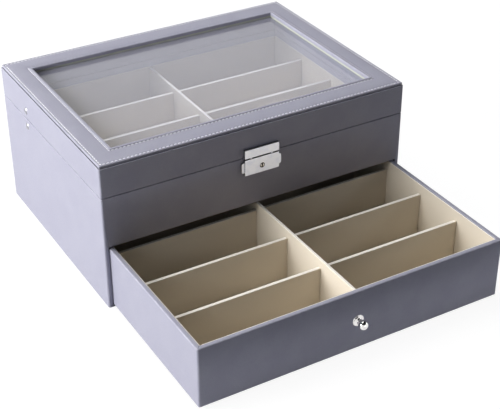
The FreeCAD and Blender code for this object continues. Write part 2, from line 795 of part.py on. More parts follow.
def drawer_pieces():
    z = (drawer_bottom, drawer_top)
    board_x = drawer_half_width - leather
    front = drawer_front + leather
    back = drawer_back - leather
    pieces = wall_boards("drawer", board_x, front, back, drawer_board, (z[0], z[1] - leather))
    inner_x = drawer_half_width - drawer_wall
    inner_front = drawer_front + drawer_wall
    inner_back = drawer_back - drawer_wall
    floor_top_z = drawer_bottom + drawer_floor_board
    pieces["drawer_floor_board"] = block((-inner_x, inner_x), (inner_front, inner_back),
                                         (drawer_bottom, floor_top_z))
    pieces["drawer_cover"] = wall_cover(drawer_half_width, drawer_front, drawer_back, z, drawer_wall,
                                        drawer_top)
    pieces["drawer_lining"] = lining_strips(inner_x, inner_front, inner_back,
                                            (floor_top_z, drawer_top - drawer_card_drop))

    clear_x = inner_x - lining_card
    clear_front = inner_front + lining_card
    clear_back = inner_back - lining_card
    pad_top = floor_top_z + pad_thickness
    pieces["drawer_floor_pad"] = block((-clear_x, clear_x), (clear_front, clear_back),
                                       (floor_top_z, pad_top))
    pieces.update(divider_grid("drawer", clear_x, clear_front, clear_back, pad_top,
                               drawer_top - drawer_divider_drop, drawer_top - drawer_centre_drop))

    height = drawer_bottom + knob_height
    seat = inner_front - knob_screw_head
    shank_hole = rod((0, drawer_front - passing, height), (0, 1, 0), drawer_wall + 2 * passing,
                     knob_screw_radius + fit)
    head_hole = rod((0, inner_front + passing, height), (0, -1, 0), knob_screw_head + passing,
                    knob_screw_head_radius + fit)
    pieces["drawer_front_board"] = cut(pieces["drawer_front_board"], [shank_hole, head_hole])
    pieces["drawer_cover"] = pieces["drawer_cover"].cut(shank_hole)
    pieces["knob"] = knob()
    pieces["knob_screw"] = screw((0, seat, height), (0, -1, 0),
                                 drawer_wall - knob_screw_head + knob_bore_depth - passing,
                                 knob_screw_radius, knob_screw_head_radius, knob_screw_head)
    return pieces


def all_pieces():
    pieces = {}
    for group in (case_pieces(), tray_pieces(), lid_pieces(), lid_frame_pieces(), glazing_pieces(),
                  hinge_pieces(), stay_pieces(), lock_pieces(), drawer_pieces()):
        pieces.update(group)
    return pieces


def main():
    os.makedirs("parts", exist_ok=True)
    pieces = all_pieces()
    for name, shape in pieces.items():
        shape.exportStep("parts/%s.step" % name)
    print("%d pieces, case %.1f x %.1f x %.2f mm, drawer %.1f mm long"
          % (len(pieces), case_width, case_depth, case_height, drawer_length))


main()
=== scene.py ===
import bpy
import bmesh
import json
import math
from mathutils import Matrix, Vector


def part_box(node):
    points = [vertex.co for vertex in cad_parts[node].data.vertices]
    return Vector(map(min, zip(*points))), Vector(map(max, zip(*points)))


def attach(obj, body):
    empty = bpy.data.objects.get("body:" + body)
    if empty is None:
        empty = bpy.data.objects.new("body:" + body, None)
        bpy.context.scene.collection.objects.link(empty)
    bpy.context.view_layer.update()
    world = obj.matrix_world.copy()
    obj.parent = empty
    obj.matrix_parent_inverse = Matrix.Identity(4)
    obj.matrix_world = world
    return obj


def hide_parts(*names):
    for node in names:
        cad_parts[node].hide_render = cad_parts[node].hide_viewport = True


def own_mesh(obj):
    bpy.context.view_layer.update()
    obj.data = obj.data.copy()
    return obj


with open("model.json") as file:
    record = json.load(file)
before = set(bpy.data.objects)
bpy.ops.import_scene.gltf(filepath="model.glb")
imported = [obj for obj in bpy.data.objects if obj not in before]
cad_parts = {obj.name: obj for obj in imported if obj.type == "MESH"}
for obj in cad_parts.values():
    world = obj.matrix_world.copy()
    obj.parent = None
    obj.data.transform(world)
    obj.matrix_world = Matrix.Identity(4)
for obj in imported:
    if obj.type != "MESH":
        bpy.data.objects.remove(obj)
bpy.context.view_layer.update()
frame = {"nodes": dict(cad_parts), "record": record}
nodes = frame["nodes"]
mm = 0.001
print("frame loaded:", len(nodes), "nodes")

# mesh tools

mergeDistance = 1e-7  # metres
# the signs of each corner of a rectangle, and the angle where its arc starts
rectangleCorners = ((-1, -1, 180), (1, -1, 270), (1, 1, 0), (-1, 1, 90))
cornerSteps = 6
plainCut = {"radius": 0.01, "steps": 1}  # edges of a cutter, as good as sharp


def newObject(name, data):
    obj = bpy.data.objects.new(name, data)
    bpy.context.scene.collection.objects.link(obj)
    return obj


def toMesh(name, bm):
    mesh = bpy.data.meshes.new(name)
    bm.to_mesh(mesh)
    bm.free()
    return mesh


def meshObject(name, bm, smoothAngle=35):
    # closes doubles, turns faces outwards and shades smooth between sharp edges
    bmesh.ops.remove_doubles(bm, verts=bm.verts, dist=mergeDistance)
    bmesh.ops.recalc_face_normals(bm, faces=bm.faces)
    mesh = toMesh(name, bm)
    for face in mesh.polygons:
        face.use_smooth = True
    mesh.set_sharp_from_angle(angle=math.radians(smoothAngle))
    return newObject(name, mesh)


def freeze(obj):
    # what the modifiers make becomes the mesh itself
    depsgraph = bpy.context.evaluated_depsgraph_get()
    shaped = bpy.data.meshes.new_from_object(
        obj.evaluated_get(depsgraph), preserve_all_data_layers=True, depsgraph=depsgraph)
    old = obj.data
    obj.modifiers.clear()
    obj.data = shaped
    bpy.data.meshes.remove(old)
    return obj


def evenNormals(obj):
    # large faces keep their own direction, so that only the rounded edges shade
    obj.modifiers.new("normals", "WEIGHTED_NORMAL").keep_sharp = True
    return freeze(obj)


def skin(bm, loops, closed=True):
    # faces between neighbouring loops of points; closed loops run all the way round
    for loop, nextLoop in zip(loops, loops[1:]):
        for k in range(len(loop) if closed else len(loop) - 1):
            after = (k + 1) % len(loop)
            bm.faces.new((loop[k], loop[after], nextLoop[after], nextLoop[k]))


def roundedProfile(points, steps=4):
    # points are (inset, height, radius); each result is (inset, height, how far round an edge)
    rounded = []
    for index, (inset, height, radius) in enumerate(points):
        here = Vector((inset, height))
        if radius == 0:
            rounded.append((inset, height, 0.0))
            continue
        before = (Vector(points[index - 1][:2]) - here).normalized()
        after = (Vector(points[(index + 1) % len(points)][:2]) - here).normalized()
        half = math.acos(max(-1.0, min(1.0, before.dot(after)))) / 2
        centre = here + (before + after).normalized() * (radius / math.sin(half))
        start = here + before * (radius / math.tan(half)) - centre
        end = here + after * (radius / math.tan(half)) - centre
        startAngle = math.atan2(start.y, start.x)
        turn = (math.atan2(end.y, end.x) - startAngle + math.pi) % (2 * math.pi) - math.pi
        for step in range(steps + 1):
            share = step / steps
            angle = startAngle + turn * share
            rounded.append((centre.x + radius * math.cos(angle), centre.y + radius * math.sin(angle),
                            math.sin(math.pi * share)))
    return rounded


def sweepRing(name, halfX, halfY, centreY, profile, cornerRadius, deepen=None):
    # takes a closed profile round a rectangle, insets counted inwards from its sides, in mm;
    # deepen = (from, to, extra) makes the front and back rails wider between two insets
    bm = bmesh.new()
    edgeLayer = bm.verts.layers.float.new("edge")
    loops = []
    for signX, signY, startAngle in rectangleCorners:
        for step in range(cornerSteps + 1):
            angle = math.radians(startAngle + 90 * step / cornerSteps)
            loop = []
            for inset, height, edge in profile:
                reach = max(cornerRadius - inset, 0)
                past = max(inset - cornerRadius, 0)
                wider = 0
                if deepen:
                    wider = deepen[2] * max(0, min(1, (inset - deepen[0]) / (deepen[1] - deepen[0])))
                x = signX * (halfX - cornerRadius - past) + reach * math.cos(angle)
                y = centreY + signY * (halfY - cornerRadius - past - wider) + reach * math.sin(angle)
                vert = bm.verts.new((x * mm, y * mm, height * mm))
                vert[edgeLayer] = edge
                loop.append(vert)
            loops.append(loop)
    skin(bm, loops + loops[:1])
    return evenNormals(meshObject(name, bm))


def plate(name, outline, place, low, high, radius, steps=3):
    # an outline pushed out from low to high, edges rounded; place turns (a, b, depth) into (x, y, z)
    bm = bmesh.new()
    bottom = [bm.verts.new(Vector(place(a, b, low)) * mm) for a, b in outline]
    top = [bm.verts.new(Vector(place(a, b, high)) * mm) for a, b in outline]
    bm.faces.new(bottom)
    bm.faces.new(list(reversed(top)))
    for k in range(len(outline)):
        after = (k + 1) % len(outline)
        bm.faces.new((bottom[k], top[k], top[after], bottom[after]))
    obj = meshObject(name, bm)
    bevel = obj.modifiers.new("edges", "BEVEL")
    bevel.width = radius * mm
    bevel.segments = steps
    bevel.limit_method = "ANGLE"
    bevel.angle_limit = math.radians(30)
    bevel.harden_normals = False
    return evenNormals(obj)


def upright(x, z, y):
    return (x, y, z)


def sideways(y, z, x):
    return (x, y, z)


def flat(x, y, z):
    return (x, y, z)


def rectangle(low, high):
    return [(low[0], low[1]), (high[0], low[1]), (high[0], high[1]), (low[0], high[1])]


def join(name, parts):
    # several meshes become one, and materials and attributes are kept
    bm = bmesh.new()
    materials = []
    for part in parts:
        start = len(bm.faces)
        bm.from_mesh(part.data)
        bm.faces.ensure_lookup_table()
        for face in bm.faces[start:]:
            face.material_index += len(materials)
        materials.extend(part.data.materials)
    mesh = toMesh(name, bm)
    for material in materials:
        mesh.materials.append(material)
    for part in parts:
        bpy.data.objects.remove(part)
    return newObject(name, mesh)


def lathe(name, profile, origin, axis, steps):
    # profile is (radius, distance along the axis), from pole to pole, in mm
    axis = Vector(axis)
    across = axis.orthogonal().normalized()
    beside = axis.cross(across)
    turns = [2 * math.pi * step / steps for step in range(steps)]
    bm = bmesh.new()
    rings = []
    for radius, distance in profile:
        centre = Vector(origin) + axis * distance
        if radius == 0:
            rings.append([bm.verts.new(centre * mm)])
            continue
        rings.append([bm.verts.new((centre + (across * math.cos(a) + beside * math.sin(a)) * radius) * mm)
                      for a in turns])
    for lower, upper in zip(rings, rings[1:]):
        for k in range(steps):
            after = (k + 1) % steps
            corners = [lower[k % len(lower)], lower[after % len(lower)],
                       upper[after % len(upper)], upper[k % len(upper)]]
            corners = [vert for n, vert in enumerate(corners) if vert not in corners[:n]]
            if len(corners) > 2:
                bm.faces.new(corners)
    return evenNormals(meshObject(name, bm, smoothAngle=40))


def arcPoints(centre, radius, fromAngle, toAngle, steps):
    # (radius, distance) points on an arc, angles in degrees from the radius direction
    points = []
    for step in range(steps + 1):
        angle = math.radians(fromAngle + (toAngle - fromAngle) * step / steps)
        points.append((max(centre[0] + radius * math.cos(angle), 0), centre[1] + radius * math.sin(angle)))
    return points


def carve(obj, cutter):
    boolean = obj.modifiers.new("carve", "BOOLEAN")
    boolean.operation = "DIFFERENCE"
    boolean.solver = "EXACT"
    boolean.object = cutter
    freeze(obj)
    bpy.data.objects.remove(cutter)
    return obj


def boxOf(node):
    # lowest and highest corner of a node, in mm
    low, high = [[value / mm for value in corner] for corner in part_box(node)]
    return low, high


def middleOf(node):
    low, high = boxOf(node)
    return [(low[k] + high[k]) / 2 for k in range(3)]


def settle(piece, body, slot, material, *replaced):
    # gives a finished piece its look and its body, and hides the nodes it stands for
    if material is not None:
        piece.data.materials.clear()
        piece.data.materials.append(material)
    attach(piece, body)
    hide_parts(*replaced)
    return piece


# node trees and shader groups


class Tree:
    # short way to add, feed and join nodes
    def __init__(self, tree):
        self.tree = tree

    def join(self, source, target):
        self.tree.links.new(source, target)

    def feed(self, socket, value):
        # an output is joined to the socket, and anything else is set on it
        if isinstance(value, bpy.types.NodeSocket):
            self.join(value, socket)
        elif socket.type == "RGBA":
            socket.default_value = (*value, 1.0)
        else:
            socket.default_value = value

    def add(self, kind, feeds=None, **settings):
        node = self.tree.nodes.new(kind)
        for key, value in settings.items():
            setattr(node, key, value)
        for key, value in (feeds or {}).items():
            self.feed(node.inputs[key], value)
        return node

    def put(self, kind, feeds=None, **settings):
        # adds a node and gives its first output
        return self.add(kind, feeds, **settings).outputs[0]

    def math(self, operation, first, second=None, clamp=False):
        feeds = {0: first} if second is None else {0: first, 1: second}
        return self.put("ShaderNodeMath", feeds, operation=operation, use_clamp=clamp)

    def times(self, value, factor, clamp=False):
        return self.math("MULTIPLY", value, factor, clamp)

    def mapRange(self, value, low, high, newLow=0.0, newHigh=1.0, curve="SMOOTHSTEP"):
        feeds = {"Value": value, "From Min": low, "From Max": high, "To Min": newLow, "To Max": newHigh}
        return self.put("ShaderNodeMapRange", feeds, interpolation_type=curve)

    def noise(self, vector, scale, detail=2.0, roughness=0.5):
        feeds = {"Vector": vector, "Scale": scale, "Detail": detail, "Roughness": roughness}
        return self.put("ShaderNodeTexNoise", feeds)

    def mix(self, factor, first, second):
        # sockets 6 and 7 are the colours A and B
        return self.add("ShaderNodeMix", {0: factor, 6: first, 7: second}, data_type="RGBA").outputs[2]

    def mixShaders(self, factor, first, second):
        return self.put("ShaderNodeMixShader", {0: factor, 1: first, 2: second})


def startGroup(name, kind, inputs, outputs):
    # a node group with named sockets: the group, its tree, what it is given and what it puts out
    group = bpy.data.node_groups.new(name, kind)
    for label, socketKind, value in inputs:
        socket = group.interface.new_socket(label, in_out="INPUT", socket_type="NodeSocket" + socketKind)
        if value is not None:
            socket.default_value = value
    for label, socketKind in outputs:
        group.interface.new_socket(label, in_out="OUTPUT", socket_type="NodeSocket" + socketKind)
    tree = Tree(group)
    return group, tree, tree.add("NodeGroupInput").outputs, tree.add("NodeGroupOutput").inputs


def makeGrainGroup():
    # pebbled leather: cells with soft creases between them
    group, tree, given, out = startGroup(
        "pebbleGrain", "ShaderNodeTree",
        [("Vector", "Vector", None), ("Cells per metre", "Float", 1400.0), ("Crease width", "Float", 0.12)],
        [("Height", "Float"), ("Crease", "Float"), ("Tone", "Float")])
    place = given["Vector"]
    density = given["Cells per metre"]
    warp = tree.add("ShaderNodeTexNoise", {"Vector": place, "Scale": tree.times(density, 0.5)})
    shift = tree.put("ShaderNodeVectorMath", {0: warp.outputs["Color"], "Scale": 0.0005}, operation="SCALE")
    moved = tree.put("ShaderNodeVectorMath", {0: place, 1: shift}, operation="ADD")
    cells = tree.put("ShaderNodeTexVoronoi", {"Vector": moved, "Scale": density}, feature="DISTANCE_TO_EDGE")
    raised = tree.mapRange(cells, 0.0, given["Crease width"])
    fine = tree.noise(place, tree.times(density, 3.0), 3.0)
    tree.join(tree.math("ADD", raised, tree.times(fine, 0.35)), out["Height"])
    tree.join(tree.math("SUBTRACT", 1.0, raised, True), out["Crease"])
    tree.join(tree.noise(place, 38.0, 4.0, 0.6), out["Tone"])
    return group


def makeWearAndHighlightGroup():
    # rubbed places and painted highlight: along the edges that the mesh marks, broken up by noise
    group, tree, given, out = startGroup(
        "edgeWearAndPaintedHighlight", "ShaderNodeTree",
        [("Vector", "Vector", None), ("Edge", "Float", 0.0), ("Patch size", "Float", 220.0),
         ("Amount", "Float", 0.5)],
        [("Mask", "Float")])
    broken = tree.mapRange(tree.noise(given["Vector"], given["Patch size"], 5.0, 0.65), 0.38, 0.72)
    mask = tree.times(given["Edge"], broken)
    tree.join(tree.times(mask, given["Amount"], True), out["Mask"])
    return group


def makeNapGroup():
    # short pile: fine fibres that stand in clumps
    group, tree, given, out = startGroup(
        "velvetNap", "ShaderNodeTree",
        [("Vector", "Vector", None), ("Fibres per metre", "Float", 5000.0)],
        [("Height", "Float"), ("Speck", "Float")])
    fibres = tree.noise(given["Vector"], given["Fibres per metre"], 3.0, 0.7)
    clumps = tree.noise(given["Vector"], tree.times(given["Fibres per metre"], 0.18), 2.0)
    tree.join(tree.math("ADD", fibres, tree.times(clumps, 0.6)), out["Height"])
    tree.join(tree.mapRange(fibres, 0.35, 0.7), out["Speck"])
    return group


def makeBrushGroup():
    # fine lines from polishing, with faint smears
    group, tree, given, out = startGroup(
        "polishLines", "ShaderNodeTree",
        [("Vector", "Vector", None), ("Stretch", "Vector", (1.0, 1.0, 1.0)),
         ("Lowest", "Float", 0.1), ("Highest", "Float", 0.25)],
        [("Roughness", "Float"), ("Height", "Float"), ("Smear", "Float")])
    stretched = tree.put("ShaderNodeVectorMath", {0: given["Vector"], 1: given["Stretch"]},
                         operation="MULTIPLY")
    lines = tree.noise(stretched, 900.0, 4.0, 0.6)
    smear = tree.mapRange(tree.noise(given["Vector"], 160.0, 3.0), 0.4, 0.7)
    level = tree.math("ADD", tree.times(lines, 0.6), tree.times(smear, 0.4))
    tree.join(tree.mapRange(level, 0.2, 0.8, given["Lowest"], given["Highest"], "LINEAR"), out["Roughness"])
    tree.join(lines, out["Height"])
    tree.join(smear, out["Smear"])
    return group


grainGroup = makeGrainGroup()
wearAndHighlightGroup = makeWearAndHighlightGroup()
napGroup = makeNapGroup()
brushGroup = makeBrushGroup()

# materials


def startMaterial(name, **constants):
    # a material with its constants set on the shader, and the place on the piece to paint by
    material = bpy.data.materials.new(name)
    material.use_nodes = True
    tree = Tree(material.node_tree)
    shader = material.node_tree.nodes["Principled BSDF"]
    for label, value in constants.items():
        tree.feed(shader.inputs[label.replace("_", " ")], value)
    return material, tree, shader, tree.add("ShaderNodeTexCoord").outputs["Object"]


def useGroup(tree, group, **values):
    feeds = {label.replace("_", " "): value for label, value in values.items()}
    return tree.add("ShaderNodeGroup", feeds, node_tree=group).outputs


def paint(tree, shader, colour, height, depth, roughness=None):
    # joins a pattern to the shader: its colour, its relief and, where that varies, its roughness
    tree.join(colour, shader.inputs["Base Color"])
    if roughness is not None:
        tree.join(roughness, shader.inputs["Roughness"])
    relief = tree.put("ShaderNodeBump", {"Strength": 1.0, "Distance": depth, "Height": height})
    tree.join(relief, shader.inputs["Normal"])


def attribute(tree, name):
    return tree.add("ShaderNodeAttribute", attribute_name=name).outputs["Fac"]


# in the looks, colours are linear, depths are metres, and a pattern is scale, detail and roughness
leatherLook = {
    "colour": (0.355, 0.351, 0.430),
    "creaseShadeColour": (0.285, 0.282, 0.350),
    "paleColour": (0.385, 0.382, 0.455),
    # the rounded edges are painted lighter: partly rubbed wear, partly painted highlight
    "wornAndLitColour": (0.52, 0.515, 0.585),
    "wearAndHighlight": 0.75,
    "cellsPerMetre": 1500.0,
    "grainDepth": 0.00004,
    "roughness": (0.40, 0.52),
}


def makeLeather(name, look):
    material, tree, shader, place = startMaterial(name, Specular_IOR_Level=0.13)
    grain = useGroup(tree, grainGroup, Vector=place, Cells_per_metre=look["cellsPerMetre"])
    wearAndHighlight = useGroup(tree, wearAndHighlightGroup, Vector=place, Edge=attribute(tree, "edge"), Amount=look["wearAndHighlight"])["Mask"]
    colour = tree.mix(tree.mapRange(grain["Tone"], 0.35, 0.65), look["colour"], look["paleColour"])
    # creases painted darker: partly the grain's own colour, partly painted shade
    colour = tree.mix(tree.times(grain["Crease"], 0.6), colour, look["creaseShadeColour"])
    # rounded edges painted lighter: partly rubbed wear, partly painted highlight
    colour = tree.mix(wearAndHighlight, colour, look["wornAndLitColour"])
    paint(tree, shader, colour, grain["Height"], look["grainDepth"],
          tree.mapRange(grain["Tone"], 0.3, 0.7, *look["roughness"]))
    return material


velvetLook = {
    "colour": (0.69, 0.622, 0.515),
    "shadeColour": (0.575, 0.51, 0.41),
    "paintedTopLight": (0.92, 0.87, 0.785),   # painted highlight on the upward faces, where the tops of the boards catch the light
    "fibresPerMetre": 4200.0,
    "speck": 0.35,
    "depth": 0.00012,
}
feltLook = {"colour": (0.030, 0.030, 0.033), "shadeColour": (0.055, 0.055, 0.06),
            "fibresPerMetre": 2600.0, "speck": 1.0, "depth": 0.0002}


def makePile(name, look, **constants):
    material, tree, shader, place = startMaterial(name, **constants)
    nap = useGroup(tree, napGroup, Vector=place, Fibres_per_metre=look["fibresPerMetre"])
    colour = tree.mix(tree.times(nap["Speck"], look["speck"]), look["colour"], look["shadeColour"])
    # the upward faces, marked fold, are painted lighter: a painted highlight, broken up by the fibres
    if "paintedTopLight" in look:
        highlightShare = tree.math("SUBTRACT", 1.0, tree.times(nap["Speck"], 0.2))
        colour = tree.mix(tree.times(attribute(tree, "fold"), highlightShare), colour, look["paintedTopLight"])
    paint(tree, shader, colour, nap["Height"], look["depth"])
    return material


# black paper over fibreboard, brown where it is rubbed
paperLook = {"colour": (0.030, 0.029, 0.028), "paleColour": (0.055, 0.052, 0.048),
             "spots": (1500.0, 5.0, 0.7), "blend": (0.4, 0.7), "rubbedColour": (0.16, 0.13, 0.10),
             "rubs": (60.0, 5.0, 0.7), "depth": 0.00008}
# painted shade in the keyhole and in the gap round the plug: a black metal colour
recessShadeLook = {"colour": (0.035, 0.034, 0.036), "paleColour": (0.11, 0.105, 0.11), "spots": (3500.0, 4.0, 0.65),
             "blend": (0.4, 0.75), "roughness": (0.5, 0.8), "depth": 0.00002}
beadLook = {"colour": (0.20, 0.20, 0.24), "paleColour": (0.26, 0.26, 0.31), "spots": (420.0, 4.0, 0.6),
            "blend": (0.35, 0.7), "depth": 0.00003}
# needle holes are painted dark: painted shade in the holes
holeLook = {"colour": (0.035, 0.035, 0.045), "paleColour": (0.075, 0.075, 0.09), "spots": (4000.0, 2.0),
            "depth": 0.00005}


def makeMottled(name, look, **constants):
    # two colours and a relief from one pattern of spots: paper, painted shade in the lock's recesses, plastic
    # and painted shade in the needle holes
    material, tree, shader, place = startMaterial(name, **constants)
    spots = tree.noise(place, *look["spots"])
    blend = tree.mapRange(spots, *look["blend"]) if "blend" in look else spots
    colour = tree.mix(blend, look["colour"], look["paleColour"])
    if "rubbedColour" in look:
        rubbed = tree.mapRange(tree.noise(place, *look["rubs"]), 0.66, 0.78)
        colour = tree.mix(tree.times(rubbed, 0.5), colour, look["rubbedColour"])
    roughness = tree.mapRange(spots, 0.3, 0.7, *look["roughness"]) if "roughness" in look else None
    paint(tree, shader, colour, spots, look["depth"], roughness)
    return material


nickelLook = {"colour": (0.83, 0.81, 0.80), "smearColour": (0.74, 0.72, 0.71),
              "stretch": (1.0, 1.0, 12.0), "roughness": (0.04, 0.12)}
# the satin plates' sides get a dark colour: a painted reflection of dark surroundings
satinLook = {"colour": (0.94, 0.95, 1.0), "smearColour": (0.89, 0.905, 0.97),
             "stretch": (12.0, 1.0, 1.0), "roughness": (0.58, 0.70), "paintedSideShade": (0.13, 0.13, 0.145)}
steelLook = {"colour": (0.66, 0.65, 0.64), "smearColour": (0.54, 0.53, 0.52),
             "stretch": (14.0, 1.0, 1.0), "roughness": (0.22, 0.42)}
rivetLook = {"colour": (0.46, 0.46, 0.50), "smearColour": (0.36, 0.36, 0.40),
             "stretch": (1.0, 1.0, 8.0), "roughness": (0.14, 0.28)}
polishDepth = 0.000004


def makeMetal(name, look):
    material, tree, shader, place = startMaterial(name, Metallic=1.0)
    lowest, highest = look["roughness"]
    lines = useGroup(tree, brushGroup, Vector=place, Stretch=look["stretch"], Lowest=lowest, Highest=highest)
    colour = tree.mix(lines["Smear"], look["colour"], look["smearColour"])
    if "paintedSideShade" in look:
        # the plates' cut edges, which face up, down or sideways, are painted dark: a painted reflection of
        # the dark room
        facing = tree.add("ShaderNodeSeparateXYZ", {0: tree.add("ShaderNodeTexCoord").outputs["Normal"]})
        edge = tree.mapRange(tree.math("ABSOLUTE", facing.outputs["Y"]), 0.5, 0.25)
        colour = tree.mix(edge, colour, look["paintedSideShade"])
    paint(tree, shader, colour, lines["Height"], polishDepth, lines["Roughness"])
    return material


glassLook = {
    "colour": (0.87, 0.88, 0.90),
    "hazeColour": (0.72, 0.72, 0.85),
    "haze": 0.62,
    "lightColour": (0.56, 0.58, 0.63),   # of the light that gets through to the tray
    "smears": (14.0, 5.0, 0.6),
    "roughness": (0.0, 0.03),            # where it is clean, and where it is smeared
}


def makeGlass(name, look):
    # clear pane with faint smears; shadow rays pass, so that the tray below is lit
    material, tree, shader, place = startMaterial(
        name, Base_Color=look["colour"], Transmission_Weight=1.0, IOR=1.5,
        Sheen_Weight=look["haze"], Sheen_Roughness=0.6, Sheen_Tint=look["hazeColour"])
    smear = tree.mapRange(tree.noise(place, *look["smears"]), 0.5, 0.75)
    tree.join(tree.mapRange(smear, 0.0, 1.0, *look["roughness"]), shader.inputs["Roughness"])
    clear = tree.put("ShaderNodeBsdfTransparent", {"Color": look["lightColour"]})
    shadowRay = tree.add("ShaderNodeLightPath").outputs["Is Shadow Ray"]
    tree.join(tree.mixShaders(shadowRay, shader.outputs[0], clear),
              material.node_tree.nodes["Material Output"].inputs["Surface"])
    return material


foamLook = {"colour": (0.52, 0.54, 0.45), "poreColour": (0.40, 0.42, 0.34),
            "poresPerMetre": 2600.0, "depth": 0.0001}


def makeFoam(name, look):
    material, tree, shader, place = startMaterial(name, Roughness=0.8)
    pores = tree.put("ShaderNodeTexVoronoi", {"Vector": place, "Scale": look["poresPerMetre"]}, feature="F1")
    swell = tree.mapRange(pores, 0.1, 0.6)
    paint(tree, shader, tree.mix(swell, look["poreColour"], look["colour"]), swell, look["depth"])
    return material


threadLook = {"colour": (0.97, 0.96, 1.0), "shadeColour": (0.85, 0.84, 0.89),
              "pliesPerMetre": 2600.0, "waver": 1.5, "depth": 0.00006}


def makeThread(name, look):
    # twisted thread: slanting plies
    material, tree, shader, place = startMaterial(name, Roughness=0.6, Sheen_Weight=0.2)
    feeds = {"Vector": place, "Scale": look["pliesPerMetre"] / 6.28, "Distortion": look["waver"]}
    twist = tree.add("ShaderNodeTexWave", feeds, wave_type="BANDS", bands_direction="DIAGONAL").outputs["Fac"]
    paint(tree, shader, tree.mix(twist, look["shadeColour"], look["colour"]), twist, look["depth"])
    return material


leather = makeLeather("greyLeather", leatherLook)
velvet = makePile("creamVelvet", velvetLook, Roughness=0.92, Sheen_Weight=0.25, Sheen_Roughness=0.5,
                  Specular_IOR_Level=0.2)
felt = makePile("baseFelt", feltLook, Roughness=0.95, Sheen_Weight=0.15)
boardPaper = makeMottled("blackPaperedBoard", paperLook, Roughness=0.8, Specular_IOR_Level=0.25)
nickel = makeMetal("polishedNickel", nickelLook)
satinNickel = makeMetal("satinNickel", satinLook)
steel = makeMetal("platedSteel", steelLook)
rivetMetal = makeMetal("rivetMetal", rivetLook)
recessShade = makeMottled("lockRecessShade", recessShadeLook, Metallic=0.6)
paneGlass = makeGlass("paneGlass", glassLook)
foam = makeFoam("paleFoam", foamLook)
beadPlastic = makeMottled("beadPlastic", beadLook, Roughness=0.45)
thread = makeThread("seamThread", threadLook)
needleHole = makeMottled("needleHole", holeLook, Roughness=0.9, Specular_IOR_Level=0.1)
print("materials ready:", len(bpy.data.materials))

# leather covers

cover = {
    "leather": 0.8,
    "wall": 4.4,            # leather and board together
    "rimRadius": 0.9,
    "innerRimRadius": 0.7,
    "cornerRadius": 2.0,
    "ledgeRadius": 0.6,
    "drawerWall": 4.4,
    "drawerRimRadius": 1.2,
    "drawerMouthRadius": 0.6,
    "lintelRadius": 0.3,
    "lintelSetback": 0.4,   # of the leather under the drawer's lintel, from the front
    "mouthCut": (-5, 3),    # the reach of the cutter for the drawer's mouth, from the front
}


def wallProfile(openEnd, rim, skirtEnd):
    # leather outside a wall, over its rim and back along the inside
    t = cover["leather"]
    inner = cover["wall"] + t
    under = rim - t if rim > openEnd else rim + t
    return roundedProfile([
        (0, openEnd, cover["ledgeRadius"]),
        (0, rim, cover["rimRadius"]),
        (inner, rim, cover["innerRimRadius"]),
        (inner, skirtEnd, 0),
        (inner - t, skirtEnd, 0),
        (inner - t, under, 0),
        (t, under, 0),
        (t, openEnd, 0),
    ])


def flushProfile(openEnd, rim):
    # the drawer's leather ends on its rim, where the lining card meets it
    t = cover["leather"]
    wall = cover["drawerWall"]
    return roundedProfile([
        (0, openEnd, cover["ledgeRadius"]),
        (0, rim, cover["drawerRimRadius"]),
        (wall, rim, cover["drawerMouthRadius"]),
        (wall, rim - t, 0),
        (t, rim - t, 0),
        (t, openEnd, 0),
    ])


def makeCaseLeather():
    low, high = boxOf("case_cover")
    profile = wallProfile(low[2], high[2], boxOf("tray_lining")[1][2])
    ring = sweepRing("caseLeather", high[0], high[1], 0, profile, cover["cornerRadius"])
    # mouth of the drawer bay
    bay = high[0] - cover["wall"]
    sill = boxOf("case_floor_board")[1][2]
    lintel = boxOf("case_front_board")[0][2] - cover["leather"]
    front = low[1]
    near, far = cover["mouthCut"]
    carve(ring, plate("bayMouth", rectangle((-bay, sill), (bay, lintel)), upright,
                      front + near, front + far, **plainCut))
    fold = rectangle((-bay, front + cover["lintelSetback"]), (bay, front + cover["wall"]))
    under = plate("lintelFold", fold, flat, lintel, lintel + cover["leather"], cover["lintelRadius"])
    return settle(join("caseLeather", [ring, under]), "case", "leather", leather, "case_cover")


def makeLidLeather():
    low, high = boxOf("lid_cover")
    profile = wallProfile(high[2], low[2], high[2])
    ring = sweepRing("lidLeather", high[0], high[1], 0, profile, cover["cornerRadius"])
    return settle(ring, "lid", "leather", leather, "lid_cover")


def makeDrawerLeather():
    low, high = boxOf("drawer_cover")
    ring = sweepRing("drawerLeather", high[0], (high[1] - low[1]) / 2, middleOf("drawer_cover")[1],
                     flushProfile(low[2], high[2]), cover["cornerRadius"])
    return settle(ring, "drawer", "leather", leather, "drawer_cover")


rimFold = {"width": 0.45, "depth": 0.4, "proud": 0.03, "setback": 0.2, "slant": 0.7}


def makeRimFolds():
    # dark slits where the drawer's leather is folded over its corners
    low, high = boxOf("drawer_cover")
    start = cover["drawerRimRadius"]
    end = cover["drawerWall"] - rimFold["setback"]
    half = rimFold["width"] / 2 * rimFold["slant"]
    parts = []
    for signX in (-1, 1):
        for signY, edge in ((-1, low[1]), (1, high[1])):
            outline = [(signX * (high[0] - away + side * half), edge - signY * (away + side * half))
                       for away, side in ((start, -0.5), (end, -1), (end, 1), (start, 0.5))]
            parts.append(plate("rimFold", outline, flat, high[2] - rimFold["depth"],
                               high[2] + rimFold["proud"], **plainCut))
    piece = join("drawerRimFolds", parts)
    piece.data.materials.append(needleHole)
    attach(piece, "drawer")
    return piece


